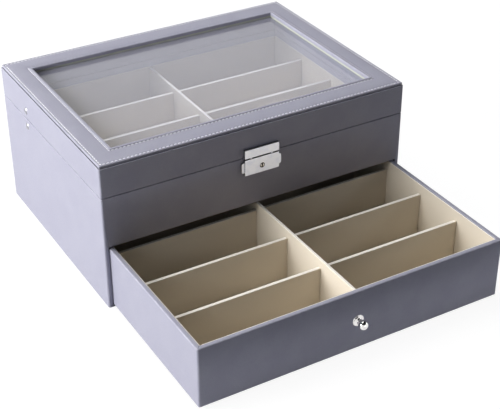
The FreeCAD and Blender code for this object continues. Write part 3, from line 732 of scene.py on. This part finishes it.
lidFrame = {
    "railSide": 24.0,       # from the frame's own edge to the window
    "railFront": 26.2,
    "inset": 0.3,           # the frame stands this far inside the wall's ledge
    "undercut": 0.7,        # and its side is drawn in further just above the ledge
    "undercutTop": 1.0,     # heights above the lid's wall
    "undercutRadius": 0.2,
    "lipBottom": 1.6,
    "lipBottomRadius": 0.3,
    "lipTop": 2.95,
    "lipRadius": 0.85,
    "crown": 0.62,          # how far the padded part swells above the lip
    "crownPower": 2.6,
    "outerSeam": 3.0,       # stitch lines, from the frame's edge and from the window
    "innerSeam": 3.75,
    "seamDepth": 0.45,
    "seamWidth": 0.85,
    "outerSeamRadius": 1.2,
    "innerSeamRadius": 0.8,
    "weltWidth": 3.3,       # rolled edge of the window
    "weltRise": 0.45,       # how far its foot leans
    "weltTop": 3.8,
    "weltRadius": 1.2,
    "weltFootRadius": 0.96,
    "cornerRadius": 1.0,
    "steps": 56,            # points across the rail
    "railGap": 0.15,        # between these points and the roundings beside them
    "seamMargin": 4.0,      # the rails' extra width starts and ends this far from the seams
}


def railHeight(across, width):
    # lip, sunk seam, padded crown, sunk seam
    outer = lidFrame["outerSeam"]
    inner = width - lidFrame["innerSeam"]
    height = lidFrame["lipTop"]
    if outer < across < inner:
        share = (across - outer) / (inner - outer)
        height += lidFrame["crown"] * (1 - abs(2 * share - 1) ** lidFrame["crownPower"])
    for seam in (outer, inner):
        height -= lidFrame["seamDepth"] * math.exp(-((across - seam) / lidFrame["seamWidth"]) ** 2)
    return height


def makeFrameLeather():
    low, high = boxOf("lid_frame_cover")
    shape = lidFrame
    width = shape["railSide"]
    base = low[2]
    t = cover["leather"]
    board = boxOf("lid_frame_board")[1][2]
    cut = shape["undercut"]
    inset = shape["inset"]
    lip = base + shape["lipTop"]
    # the last point only shows the rounding which way to turn
    side = roundedProfile([(cut, base, 0), (cut, base + shape["undercutTop"], shape["undercutRadius"]),
                           (inset, base + shape["lipBottom"], shape["lipBottomRadius"]),
                           (inset, lip, shape["lipRadius"]), (inset + 2, lip, 0)])[:-1]
    weltStart = width - shape["weltWidth"]
    first = inset + shape["lipRadius"] + shape["railGap"]
    last = weltStart - shape["railGap"]
    rail = []
    for index in range(shape["steps"] + 1):
        across = first + (last - first) * index / shape["steps"]
        rail.append((across, base + railHeight(across, width), 0))
    crest = base + shape["weltTop"]
    welt = roundedProfile([rail[-1], (weltStart + shape["weltRise"], crest, shape["weltFootRadius"]),
                           (width, crest, shape["weltRadius"]), (width, base, 0)])[1:]
    under = [(width - t, base, 0), (width - t, board, 0), (t, board, 0), (t, base, 0)]
    margin = shape["seamMargin"]
    deepen = (shape["outerSeam"] + margin, width - shape["innerSeam"] - margin,
              shape["railFront"] - shape["railSide"])
    ring = sweepRing("frameLeather", high[0], high[1], 0, side + rail + welt + under,
                     shape["cornerRadius"], deepen)
    return settle(ring, "lid", "leather", leather, "lid_frame_cover")


# linings, pads and dividers

velvetBoards = {"card": 1.2, "edgeRadius": 0.45, "padRadius": 0.9, "lapHeight": 15.0, "slotGap": 0.1}


def markUpwardFaces(piece):
    # marks the upward faces, which get a painted highlight
    marks = piece.data.attributes.new("fold", "FLOAT", "FACE")
    for face in piece.data.polygons:
        marks.data[face.index].value = 1.0 if face.normal.z > 0.5 else 0.0
    return piece


def makeLining(name, body, cards):
    # four cards: the side ones run the whole way, and the front and back ones stand between them
    low, high = boxOf(cards)
    t = velvetBoards["card"]
    parts = []
    for axis, across, inset, place in ((0, 1, 0, sideways), (1, 0, t, upright)):
        face = rectangle((low[across] + inset, low[2]), (high[across] - inset, high[2]))
        for edge, thickness in ((low[axis], t), (high[axis], -t)):
            parts.append(plate("card", face, place, edge, edge + thickness, velvetBoards["edgeRadius"]))
    return settle(markUpwardFaces(join(name, parts)), body, "lining", velvet, cards)


def makePad(name, body, node):
    low, high = boxOf(node)
    pad = plate(name, rectangle(low, high), flat, low[2], high[2], velvetBoards["padRadius"])
    return settle(pad, body, "lining", velvet, node)


def makeDivider(name, outline, place, low, high, body, node):
    board = plate(name, outline, place, low, high, velvetBoards["edgeRadius"])
    return settle(markUpwardFaces(board), body, "lining", velvet, node)


def makeDividers(room, body):
    # the cross dividers are slotted from above and the centre one from below, and they meet halfway
    centreNode = room + "_centre_divider"
    centreLow, centreHigh = boxOf(centreNode)
    lap = centreLow[2] + velvetBoards["lapHeight"]
    gap = velvetBoards["slotGap"]
    slot = centreHigh[0] + gap
    notches = []
    for number in (1, 2, 3):
        node = "%s_cross_divider_%d" % (room, number)
        low, high = boxOf(node)
        outline = [(low[0], low[2]), (high[0], low[2]), (high[0], high[2]), (slot, high[2]),
                   (slot, lap), (-slot, lap), (-slot, high[2]), (low[0], high[2])]
        makeDivider("%sCrossDivider%d" % (room, number), outline, upright, low[1], high[1], body, node)
        notches.append((low[1] - gap, high[1] + gap))
    outline = [(centreHigh[1], centreHigh[2]), (centreLow[1], centreHigh[2]), (centreLow[1], centreLow[2])]
    for near, far in sorted(notches):
        outline += [(near, centreLow[2]), (near, lap), (far, lap), (far, centreLow[2])]
    outline.append((centreHigh[1], centreLow[2]))
    makeDivider(room + "CentreDivider", outline, sideways, centreLow[0], centreHigh[0], body, centreNode)


# stitches

# in mm, and each is an input of the node tree
stitch = {"pitch": 4.0, "length": 2.9, "thickness": 1.05, "arch": 0.4, "holeRadius": 0.42}


def makeStitchTree():
    # a thread stitch and a needle hole at every step along a closed line
    sizes = [(label, "Float", size * mm) for label, size in stitch.items()]
    group, kit, given, out = startGroup("stitchLine", "GeometryNodeTree",
                                        [("Geometry", "Geometry", None)] + sizes, [("Geometry", "Geometry")])
    line = kit.put("GeometryNodeMeshToCurve", {"Mesh": given["Geometry"]})
    steps = kit.put("GeometryNodeResampleCurve", {"Curve": line, "Length": given["pitch"]}, mode="LENGTH")
    tangent = kit.put("GeometryNodeInputTangent")
    turn = kit.put("FunctionNodeAlignRotationToVector", {"Vector": tangent}, axis="X")
    # the thread comes up out of the leather, arches over it and goes down again
    half = kit.times(given["length"], 0.5)
    sunk = kit.times(given["thickness"], -0.4)
    start, end = [kit.put("ShaderNodeCombineXYZ", {"X": kit.times(half, sign), "Z": sunk})
                  for sign in (-1, 1)]
    crest = kit.put("ShaderNodeCombineXYZ", {"Z": kit.times(given["arch"], 2.0)})
    arc = kit.put("GeometryNodeCurveQuadraticBezier",
                  {"Resolution": 6, "Start": start, "Middle": crest, "End": end})
    ply = kit.put("GeometryNodeCurvePrimitiveCircle",
                  {"Resolution": 6, "Radius": kit.times(given["thickness"], 0.5)})
    solid = kit.put("GeometryNodeCurveToMesh", {"Curve": arc, "Profile Curve": ply, "Fill Caps": True})
    smooth = kit.put("GeometryNodeSetShadeSmooth", {"Geometry": solid})
    threaded = kit.put("GeometryNodeSetMaterial", {"Geometry": smooth, "Material": thread})
    # the hole lies halfway to the next stitch, and its dark colour is painted shade
    radius = given["holeRadius"]
    hole = kit.put("GeometryNodeMeshCone", {"Vertices": 8, "Radius Bottom": radius,
                                            "Radius Top": kit.times(radius, 0.7),
                                            "Depth": kit.times(radius, 0.6)})
    shift = kit.put("ShaderNodeCombineXYZ", {"X": kit.times(given["pitch"], 0.5),
                                             "Z": kit.times(radius, -0.4)})
    moved = kit.put("GeometryNodeTransform", {"Geometry": hole, "Translation": shift})
    holed = kit.put("GeometryNodeSetMaterial", {"Geometry": moved, "Material": needleHole})
    both = kit.add("GeometryNodeJoinGeometry", {0: threaded})
    kit.join(holed, both.inputs[0])
    spread = kit.put("GeometryNodeInstanceOnPoints",
                     {"Points": steps, "Instance": both.outputs[0], "Rotation": turn})
    kit.join(kit.put("GeometryNodeRealizeInstances", {"Geometry": spread}), out["Geometry"])
    return group


def growNodes(obj, group, **values):
    # runs a geometry tree on an object, inputs set by their identifiers, and keeps the result as its mesh
    modifier = obj.modifiers.new(group.name, "NODES")
    modifier.node_group = group
    for item in group.interface.items_tree:
        if item.in_out == "INPUT" and item.name in values:
            modifier[item.identifier] = values[item.name]
    return freeze(obj)


def seamLine(name, halfX, halfY, height, radius):
    # a rounded rectangle of plain edges, and the pitch that comes out even round it
    bm = bmesh.new()
    points = []
    for signX, signY, startAngle in rectangleCorners:
        for step in range(cornerSteps + 1):
            angle = math.radians(startAngle + 90 * step / cornerSteps)
            points.append(((signX * (halfX - radius) + radius * math.cos(angle)) * mm,
                           (signY * (halfY - radius) + radius * math.sin(angle)) * mm, height * mm))
    verts = [bm.verts.new(point) for point in points]
    around = sum((Vector(a) - Vector(b)).length for a, b in zip(points, points[1:] + points[:1]))
    for k in range(len(verts)):
        bm.edges.new((verts[k], verts[(k + 1) % len(verts)]))
    return newObject(name, toMesh(name, bm)), around / round(around / (stitch["pitch"] * mm))


def makeFrameStitches():
    group = makeStitchTree()
    low, high = boxOf("lid_frame_cover")
    seamHeight = low[2] + lidFrame["lipTop"] - lidFrame["seamDepth"]
    outer = lidFrame["outerSeam"]
    innerX = high[0] - lidFrame["railSide"] + lidFrame["innerSeam"]
    innerY = high[1] - lidFrame["railFront"] + lidFrame["innerSeam"]
    parts = []
    for halfX, halfY, radius in ((high[0] - outer, high[1] - outer, lidFrame["outerSeamRadius"]),
                                 (innerX, innerY, lidFrame["innerSeamRadius"])):
        run, pitch = seamLine("seamRun", halfX, halfY, seamHeight, radius)
        parts.append(growNodes(run, group, pitch=pitch))
    piece = join("frameStitches", parts)
    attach(piece, "lid")
    return piece


# metal pieces

knobShape = {"flange": 5.8, "backInset": 0.1, "edgeRadius": 0.3, "edgeAngle": 60, "slopeInset": 0.9,
             "slopeStart": 0.75, "slopeEnd": 2.4, "slopePower": 2.2, "slopeSteps": 9, "neck": 2.3,
             "neckRise": 0.3, "ball": 4.7, "ballDistance": 8.0, "ballSteps": 20, "sides": 56}


def makeKnob():
    middle = middleOf("knob")
    back = boxOf("knob")[1][1]
    shape = knobShape
    edge = shape["edgeRadius"]
    top = shape["flange"] - shape["slopeInset"]
    profile = [(0, 0), (shape["flange"] - shape["backInset"], 0)]
    profile += arcPoints((shape["flange"] - edge, edge), edge, -shape["edgeAngle"], shape["edgeAngle"], 4)
    # hollow slope into the neck
    for step in range(shape["slopeSteps"]):
        share = step / shape["slopeSteps"]
        rise = (shape["slopeEnd"] - shape["slopeStart"]) * share ** shape["slopePower"]
        profile.append((top - (top - shape["neck"]) * share, shape["slopeStart"] + rise))
    profile.append((shape["neck"], shape["slopeEnd"] + shape["neckRise"]))
    start = math.degrees(math.asin(-math.sqrt(1 - (shape["neck"] / shape["ball"]) ** 2)))
    profile += arcPoints((0, shape["ballDistance"]), shape["ball"], start, 90, shape["ballSteps"])
    profile[-1] = (0, shape["ballDistance"] + shape["ball"])
    piece = lathe("drawerKnob", profile, (middle[0], back, middle[2]), (0, -1, 0), shape["sides"])
    return settle(piece, "drawer", "polished_metal", nickel, "knob")


rivetShape = {"dome": 4.0, "domeHeight": 1.3, "domeSteps": 10, "shank": 1.5, "collar": 2.5, "linkRoom": 1.15,
              "head": 3.0, "headThickness": 0.8, "headEdge": 0.2, "headRound": 0.35, "sides": 40}


def makeWallRivet(name, node, body, lining):
    # dome outside, shank, collar from the lining to the link, and flat head inside
    low, high = boxOf(node)
    middle = middleOf(node)
    shape = rivetShape
    wallFace = low[0] + shape["domeHeight"]
    ball = (shape["dome"] ** 2 + shape["domeHeight"] ** 2) / (2 * shape["domeHeight"])
    edgeAngle = math.degrees(math.asin((ball - shape["domeHeight"]) / ball))
    length = high[0] - wallFace
    dome = [(radius, -distance) for radius, distance in
            arcPoints((0, shape["domeHeight"] - ball), ball, 90, edgeAngle, shape["domeSteps"])]
    dome[0] = (0, -shape["domeHeight"])
    collarStart = cover["wall"] + lining
    headStart = length - shape["headThickness"]
    linkStart = headStart - shape["linkRoom"]
    profile = dome + [
        (shape["shank"], 0), (shape["shank"], collarStart), (shape["collar"], collarStart),
        (shape["collar"], linkStart), (shape["shank"], linkStart), (shape["shank"], headStart),
        (shape["head"] - shape["headEdge"], headStart), (shape["head"], headStart + shape["headEdge"]),
        (shape["head"], length - shape["headRound"]), (shape["head"] - shape["headRound"], length),
        (0, length),
    ]
    piece = lathe(name, profile, (wallFace, middle[1], middle[2]), (1, 0, 0), shape["sides"])
    return settle(piece, body, "plated_steel", rivetMetal, node)


plugShape = {"radius": 2.75, "length": 5.8, "ringOuter": 2.6, "ringInner": 2.15, "ringDepth": 0.5,
             "ringSlope": 0.05, "faceRound": 0.12, "rimRound": 0.08, "rimDepth": 0.1, "rimSetback": 0.05,
             "holeRadius": 1.0, "holeRise": 1.0, "holeDepth": 2.5, "slotWidth": 0.8, "slotDrop": 2.1,
             "slotRadius": 0.02, "cutLead": 1, "tailHalf": 1.4, "tailRadius": 0.2, "skin": 0.1,
             "sides": 56, "holeSides": 32}


def makeKeyPlug():
    low, high = boxOf("key_plug")
    shape = plugShape
    front = low[1]
    height = middleOf("key_plug")[2]
    r = shape["radius"]
    slope = shape["ringSlope"]
    back = shape["rimSetback"]
    inner = shape["ringInner"]
    outer = shape["ringOuter"]
    dip = shape["ringDepth"]
    profile = [(0, 0), (inner - shape["faceRound"], 0), (inner, shape["faceRound"]), (inner + slope, dip),
               (outer - slope, dip), (outer, back), (r - shape["rimRound"], back),
               (r, back + shape["rimDepth"]), (r, shape["length"]), (0, shape["length"])]
    plug = lathe("plugBarrel", profile, (0, front, height), (0, 1, 0), shape["sides"])
    lead = shape["cutLead"]
    bore = [(0, -lead), (shape["holeRadius"], -lead), (shape["holeRadius"], shape["holeDepth"]),
            (0, shape["holeDepth"])]
    carve(plug, lathe("plugHole", bore, (0, front, height + shape["holeRise"]), (0, 1, 0),
                      shape["holeSides"]))
    half = shape["slotWidth"] / 2
    slot = rectangle((-half, height - shape["slotDrop"]), (half, height + shape["holeRise"]))
    carve(plug, plate("plugSlot", slot, upright, front - lead, front + shape["holeDepth"],
                      shape["slotRadius"], 1))
    tail = plate("plugTail", rectangle((-shape["tailHalf"], low[2]), (shape["tailHalf"], high[2])),
                 upright, front + shape["length"], high[1], shape["tailRadius"])
    piece = join("keyPlug", [plug, tail])
    # the face shines, and what lies behind it is painted black as shade
    piece.data.materials.clear()
    piece.data.materials.append(nickel)
    # the second material is painted shade for the sunk faces
    piece.data.materials.append(recessShade)
    skinDepth = shape["skin"]
    for face in piece.data.polygons:
        depth = face.center.y / mm - front
        away = math.hypot(face.center.x / mm, face.center.z / mm - height)
        sunk = skinDepth < depth < shape["length"] - skinDepth and away < r - skinDepth
        face.material_index = 1 if sunk else 0
    return settle(piece, "key", "polished_metal", None, "key_plug")


springShape = {"start": 6.12, "end": 13.68, "radius": 0.65, "wire": 0.12, "turns": 7, "stepsPerTurn": 20,
               "sides": 8, "wall": 6.0, "seat": 13.8, "travel": 2.5}


def makeLockSpring(name, node, side):
    # a coil between the lock's rib and the button
    shape = springShape
    middle = middleOf(node)
    count = shape["turns"] * shape["stepsPerTurn"]
    bm = bmesh.new()
    rings = []
    for step in range(count + 1):
        angle = 2 * math.pi * step / shape["stepsPerTurn"]
        x = side * (shape["start"] + (shape["end"] - shape["start"]) * step / count)
        ring = []
        for k in range(shape["sides"]):
            turn = 2 * math.pi * k / shape["sides"]
            reach = shape["radius"] + shape["wire"] * math.cos(turn)
            point = (x + shape["wire"] * math.sin(turn), middle[1] + reach * math.cos(angle),
                     middle[2] + reach * math.sin(angle))
            ring.append(bm.verts.new(Vector(point) * mm))
        rings.append(ring)
    skin(bm, rings)
    bm.faces.new(rings[0])
    bm.faces.new(list(reversed(rings[-1])))
    piece = settle(meshObject(name, bm, smoothAngle=50), "case", "plated_steel", steel, node)
    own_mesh(piece)
    return piece


# screws

hingeScrew = {"head": 1.9, "headHeight": 0.8, "shank": 0.9, "shankLength": 4.4,
              "crossWidth": 0.42, "crossDepth": 0.5}
haspScrew = {"head": 2.0, "headHeight": 1.0, "shank": 0.8, "crossWidth": 0.45, "crossDepth": 0.6}
screwRows = {"hingeOut": 95.0, "hingeSpread": 18.0, "haspOut": 14.0,   # out from the middle, and between two
             "caseSeed": 3, "lidSeed": 8, "haspSeed": 5, "mostTurn": 1.57}
screwForm = {"tip": 0.6, "tipLength": 0.8, "headEdge": 0.1, "headInset": 0.08, "steps": 9, "cross": 0.62,
             "cutLead": 1, "sides": 28}


def makeScrewMesh(name, shape, shankLength):
    # pan head with a cross recess; it stands at the origin with its head towards +Y
    r = shape["head"]
    h = shape["headHeight"]
    edge = screwForm["headEdge"]
    profile = [(0, -shankLength), (shape["shank"] * screwForm["tip"], -shankLength),
               (shape["shank"], -shankLength + screwForm["tipLength"]), (shape["shank"], 0),
               (r - screwForm["headInset"], 0)]
    for step in range(screwForm["steps"]):
        quarter = math.pi / 2 * step / screwForm["steps"]
        profile.append((r * math.cos(quarter), edge + (h - edge) * math.sin(quarter)))
    profile.append((0, h))
    screw = lathe(name, profile, (0, 0, 0), (0, 1, 0), screwForm["sides"])
    arm = r * screwForm["cross"]
    w = shape["crossWidth"] / 2
    cross = [(-arm, -w), (-w, -w), (-w, -arm), (w, -arm), (w, -w), (arm, -w),
             (arm, w), (w, w), (w, arm), (-w, arm), (-w, w), (-arm, w)]
    cut = plate("crossRecess", cross, upright, h - shape["crossDepth"], h + screwForm["cutLead"],
                **plainCut)
    return carve(screw, cut)


def makeScrewTree():
    # the picked screw at every point, each turned its own way by the seed
    group, kit, given, out = startGroup(
        "screwRow", "GeometryNodeTree",
        [("Geometry", "Geometry", None), ("Screw", "Object", None), ("Seed", "Int", None),
         ("Finish", "Material", None)],
        [("Geometry", "Geometry")])
    picked = kit.add("GeometryNodeObjectInfo", {"Object": given["Screw"]})
    feeds = {0: (0, 0, 0), 1: (0, screwRows["mostTurn"], 0), "Seed": given["Seed"]}
    chance = kit.put("FunctionNodeRandomValue", feeds, data_type="FLOAT_VECTOR")
    turn = kit.put("FunctionNodeEulerToRotation", {0: chance})
    feeds = {"Points": given["Geometry"], "Instance": picked.outputs["Geometry"], "Rotation": turn}
    spread = kit.put("GeometryNodeInstanceOnPoints", feeds)
    real = kit.put("GeometryNodeRealizeInstances", {"Geometry": spread})
    finish = kit.put("GeometryNodeSetMaterial", {"Geometry": real, "Material": given["Finish"]})
    kit.join(finish, out["Geometry"])
    return group


def screwRow(name, group, screw, places, seed, body, node):
    mesh = bpy.data.meshes.new(name)
    mesh.from_pydata([Vector(place) * mm for place in places], [], [])
    row = growNodes(newObject(name, mesh), group, Screw=screw, Seed=seed, Finish=steel)
    return settle(row, body, "plated_steel", steel, node)


def makeScrews():
    group = makeScrewTree()
    screw = makeScrewMesh("screwPattern", hingeScrew, hingeScrew["shankLength"])
    for name, node, body, seed in (("caseHingeScrews", "hinge_case_screws", "case", screwRows["caseSeed"]),
                                   ("lidHingeScrews", "hinge_lid_screws", "lid", screwRows["lidSeed"])):
        seat = boxOf(node)[1][1] - hingeScrew["headHeight"]
        height = middleOf(node)[2]
        places = [(side * screwRows["hingeOut"] + shift * screwRows["hingeSpread"] / 2, seat, height)
                  for side in (-1, 1) for shift in (-1, 1)]
        screwRow(name, group, screw, places, seed, body, node)
    bpy.data.objects.remove(screw)
    low, high = boxOf("hasp_screws")
    height = middleOf("hasp_screws")[2]
    seat = high[1] - haspScrew["headHeight"]
    screw = makeScrewMesh("haspScrewPattern", haspScrew, seat - low[1])
    places = [(side * screwRows["haspOut"], seat, height) for side in (-1, 1)]
    screwRow("haspScrews", group, screw, places, screwRows["haspSeed"], "lid", "hasp_screws")
    bpy.data.objects.remove(screw)


# all pieces

makeCaseLeather()
makeLidLeather()
makeDrawerLeather()
makeRimFolds()
makeFrameLeather()
makeFrameStitches()
print("leather covers ready")
makeLining("trayLining", "case", "tray_lining")
makeLining("drawerLining", "drawer", "drawer_lining")
makePad("trayPad", "case", "tray_floor_pad")
makePad("drawerPad", "drawer", "drawer_floor_pad")
makeDividers("tray", "case")
makeDividers("drawer", "drawer")
print("linings ready")
makeKnob()
makeWallRivet("caseRivet", "stay_case_rivet", "case", velvetBoards["card"])
makeWallRivet("lidRivet", "stay_lid_rivet", "lid", cover["leather"])
makeKeyPlug()
makeLockSpring("lockSpringLeft", "lock_spring_left", -1)
makeLockSpring("lockSpringRight", "lock_spring_right", 1)
makeScrews()
print("metal pieces ready")

nodeLooks = {"board": boardPaper, "base_cloth": felt, "polished_metal": nickel, "plated_steel": steel,
             "glass": paneGlass, "seal": foam, "bead": beadPlastic, "leather": leather, "lining": velvet}
satinNodes = ("lock_case", "hasp", "lock_button_left", "lock_button_right")
for part in frame["record"]["subparts"]:
    slots = nodes[part["node"]].data.materials
    slots.clear()
    slots.append(satinNickel if part["node"] in satinNodes else nodeLooks[part["material_slot"]])

# floor, light and camera

studio = {
    "floorSize": 4.0,                     # half its side
    "floorDrop": 0.0002,
    "floorShade": (0.275, 0.285, 0.315),  # what the floor gives back to the object
    "floorWhite": 0.92,                   # what the camera sees of it: this much white,
    "shadowShare": 0.14,                  # and this much of the light that falls there
    "ambient": 0.026,
    "ambientColour": (0.50, 0.68, 1.0),
}
lamps = {
    # sizes in metres, power in watts, spread in degrees
    "leftSoftbox": {"place": (-1.6, 0.25, 0.52), "aim": (0.0, 0.0, 0.10), "size": (1.3, 0.8),
                    "power": 39.5, "spread": 180},
    "topSoftbox": {"place": (-0.25, 0.45, 1.60), "aim": (0.0, -0.05, 0.10), "size": (1.3, 1.3),
                   "power": 22.0, "spread": 180},
    "frontStrip": {"place": (0.12, -0.80, 0.05), "aim": (0.07, -0.295, 0.015), "size": (0.8, 0.05),
                   "power": 0.036, "spread": 14},
    "rightFill": {"place": (0.44, -0.42, 0.24), "aim": (0.16, -0.14, 0.08), "size": (0.12, 0.12),
                  "power": 0.18, "spread": 180},
    "leftFill": {"place": (-0.43, -0.42, 0.22), "aim": (-0.15, -0.14, 0.10), "size": (0.12, 0.12),
                 "power": 0.14, "spread": 180},
}
canopy = {"radius": 2.3, "across": (-132, 132), "height": (26, 86), "step": 6,
          "colour": (0.02, 0.02, 0.02), "fibreColour": (0.03, 0.03, 0.03)}


def seenRays(tree):
    # 1 where the camera sees the room, directly, mirrored or through glass, and 0 where the room is a light
    path = tree.add("ShaderNodeLightPath").outputs
    seen = tree.math("MAXIMUM", path["Is Camera Ray"],
                     tree.math("MAXIMUM", path["Is Glossy Ray"], path["Is Transmission Ray"]))
    return tree.times(seen, tree.math("SUBTRACT", 1.0, path["Diffuse Depth"], True))


def makeFloor():
    bm = bmesh.new()
    bmesh.ops.create_grid(bm, x_segments=1, y_segments=1, size=studio["floorSize"])
    for vert in bm.verts:
        vert.co.z = -studio["floorDrop"]
    floor = newObject("floor", toMesh("floor", bm))
    material, tree, shader, place = startMaterial(
        "paleFloor", Base_Color=studio["floorShade"], Roughness=0.9, Specular_IOR_Level=0.1)
    white = tree.put("ShaderNodeEmission", {"Strength": studio["floorWhite"]})
    shadow = tree.put("ShaderNodeBsdfDiffuse", {"Color": (studio["shadowShare"],) * 3})
    shown = tree.put("ShaderNodeAddShader", {0: white, 1: shadow})
    tree.join(tree.mixShaders(seenRays(tree), shader.outputs[0], shown),
              material.node_tree.nodes["Material Output"].inputs["Surface"])
    floor.data.materials.append(material)


def makeWorld():
    world = bpy.data.worlds.new("studio")
    bpy.context.scene.world = world
    world.use_nodes = True
    tree = Tree(world.node_tree)
    ambient = world.node_tree.nodes["Background"]
    tree.feed(ambient.inputs["Color"], studio["ambientColour"])
    tree.feed(ambient.inputs["Strength"], studio["ambient"])
    white = tree.put("ShaderNodeBackground", {"Color": (1.0, 1.0, 1.0), "Strength": 1.0})
    tree.join(tree.mixShaders(seenRays(tree), ambient.outputs[0], white),
              world.node_tree.nodes["World Output"].inputs["Surface"])


def areaLamp(name, place, aim, size, power, spread):
    lamp = bpy.data.lights.new(name, "AREA")
    lamp.shape = "RECTANGLE"
    lamp.size, lamp.size_y = size
    lamp.energy = power
    lamp.spread = math.radians(spread)
    obj = newObject(name, lamp)
    obj.location = place
    obj.rotation_euler = (Vector(aim) - Vector(place)).to_track_quat("-Z", "Y").to_euler()
    return obj


def makeCanopy():
    # a black cloth over the camera's side of the room, seen only in polished metal
    bm = bmesh.new()
    rows = []
    for rise in range(canopy["height"][0], canopy["height"][1] + 1, canopy["step"]):
        row = []
        for turn in range(canopy["across"][0], canopy["across"][1] + 1, canopy["step"]):
            flatReach = canopy["radius"] * math.cos(math.radians(rise))
            row.append(bm.verts.new((flatReach * math.sin(math.radians(turn)),
                                     -flatReach * math.cos(math.radians(turn)),
                                     canopy["radius"] * math.sin(math.radians(rise)))))
        rows.append(row)
    skin(bm, rows, closed=False)
    card = newObject("canopy", toMesh("canopy", bm))
    material, tree, shader, place = startMaterial("blackCloth", Roughness=1.0, Specular_IOR_Level=0.0)
    colour = tree.mix(tree.noise(place, 300.0), canopy["colour"], canopy["fibreColour"])
    tree.join(colour, shader.inputs["Base Color"])
    card.data.materials.append(material)
    card.visible_camera = False
    card.visible_diffuse = False
    card.visible_transmission = False
    card.visible_shadow = False


cameraSet = {
    "place": (-0.52236, -1.00227, 0.70282),
    "right": (0.86406, -0.50338, -0.00225),
    "up": (0.26835, 0.45682, 0.84812),
    "back": (-0.4259, -0.73343, 0.5298),
    "lens": 88.04,
    "sensor": 36.0,
}


def makeCamera():
    lens = bpy.data.cameras.new("view")
    lens.lens = cameraSet["lens"]
    lens.sensor_width = cameraSet["sensor"]
    lens.sensor_fit = "HORIZONTAL"
    camera = newObject("view", lens)
    axes = Matrix([cameraSet["right"], cameraSet["up"], cameraSet["back"]]).transposed().to_4x4()
    camera.matrix_world = Matrix.Translation(cameraSet["place"]) @ axes
    bpy.context.scene.camera = camera


makeFloor()
makeWorld()
for name, values in lamps.items():
    areaLamp(name, **values)
makeCanopy()
makeCamera()
bpy.context.scene.view_settings.view_transform = "Standard"
print("studio ready")
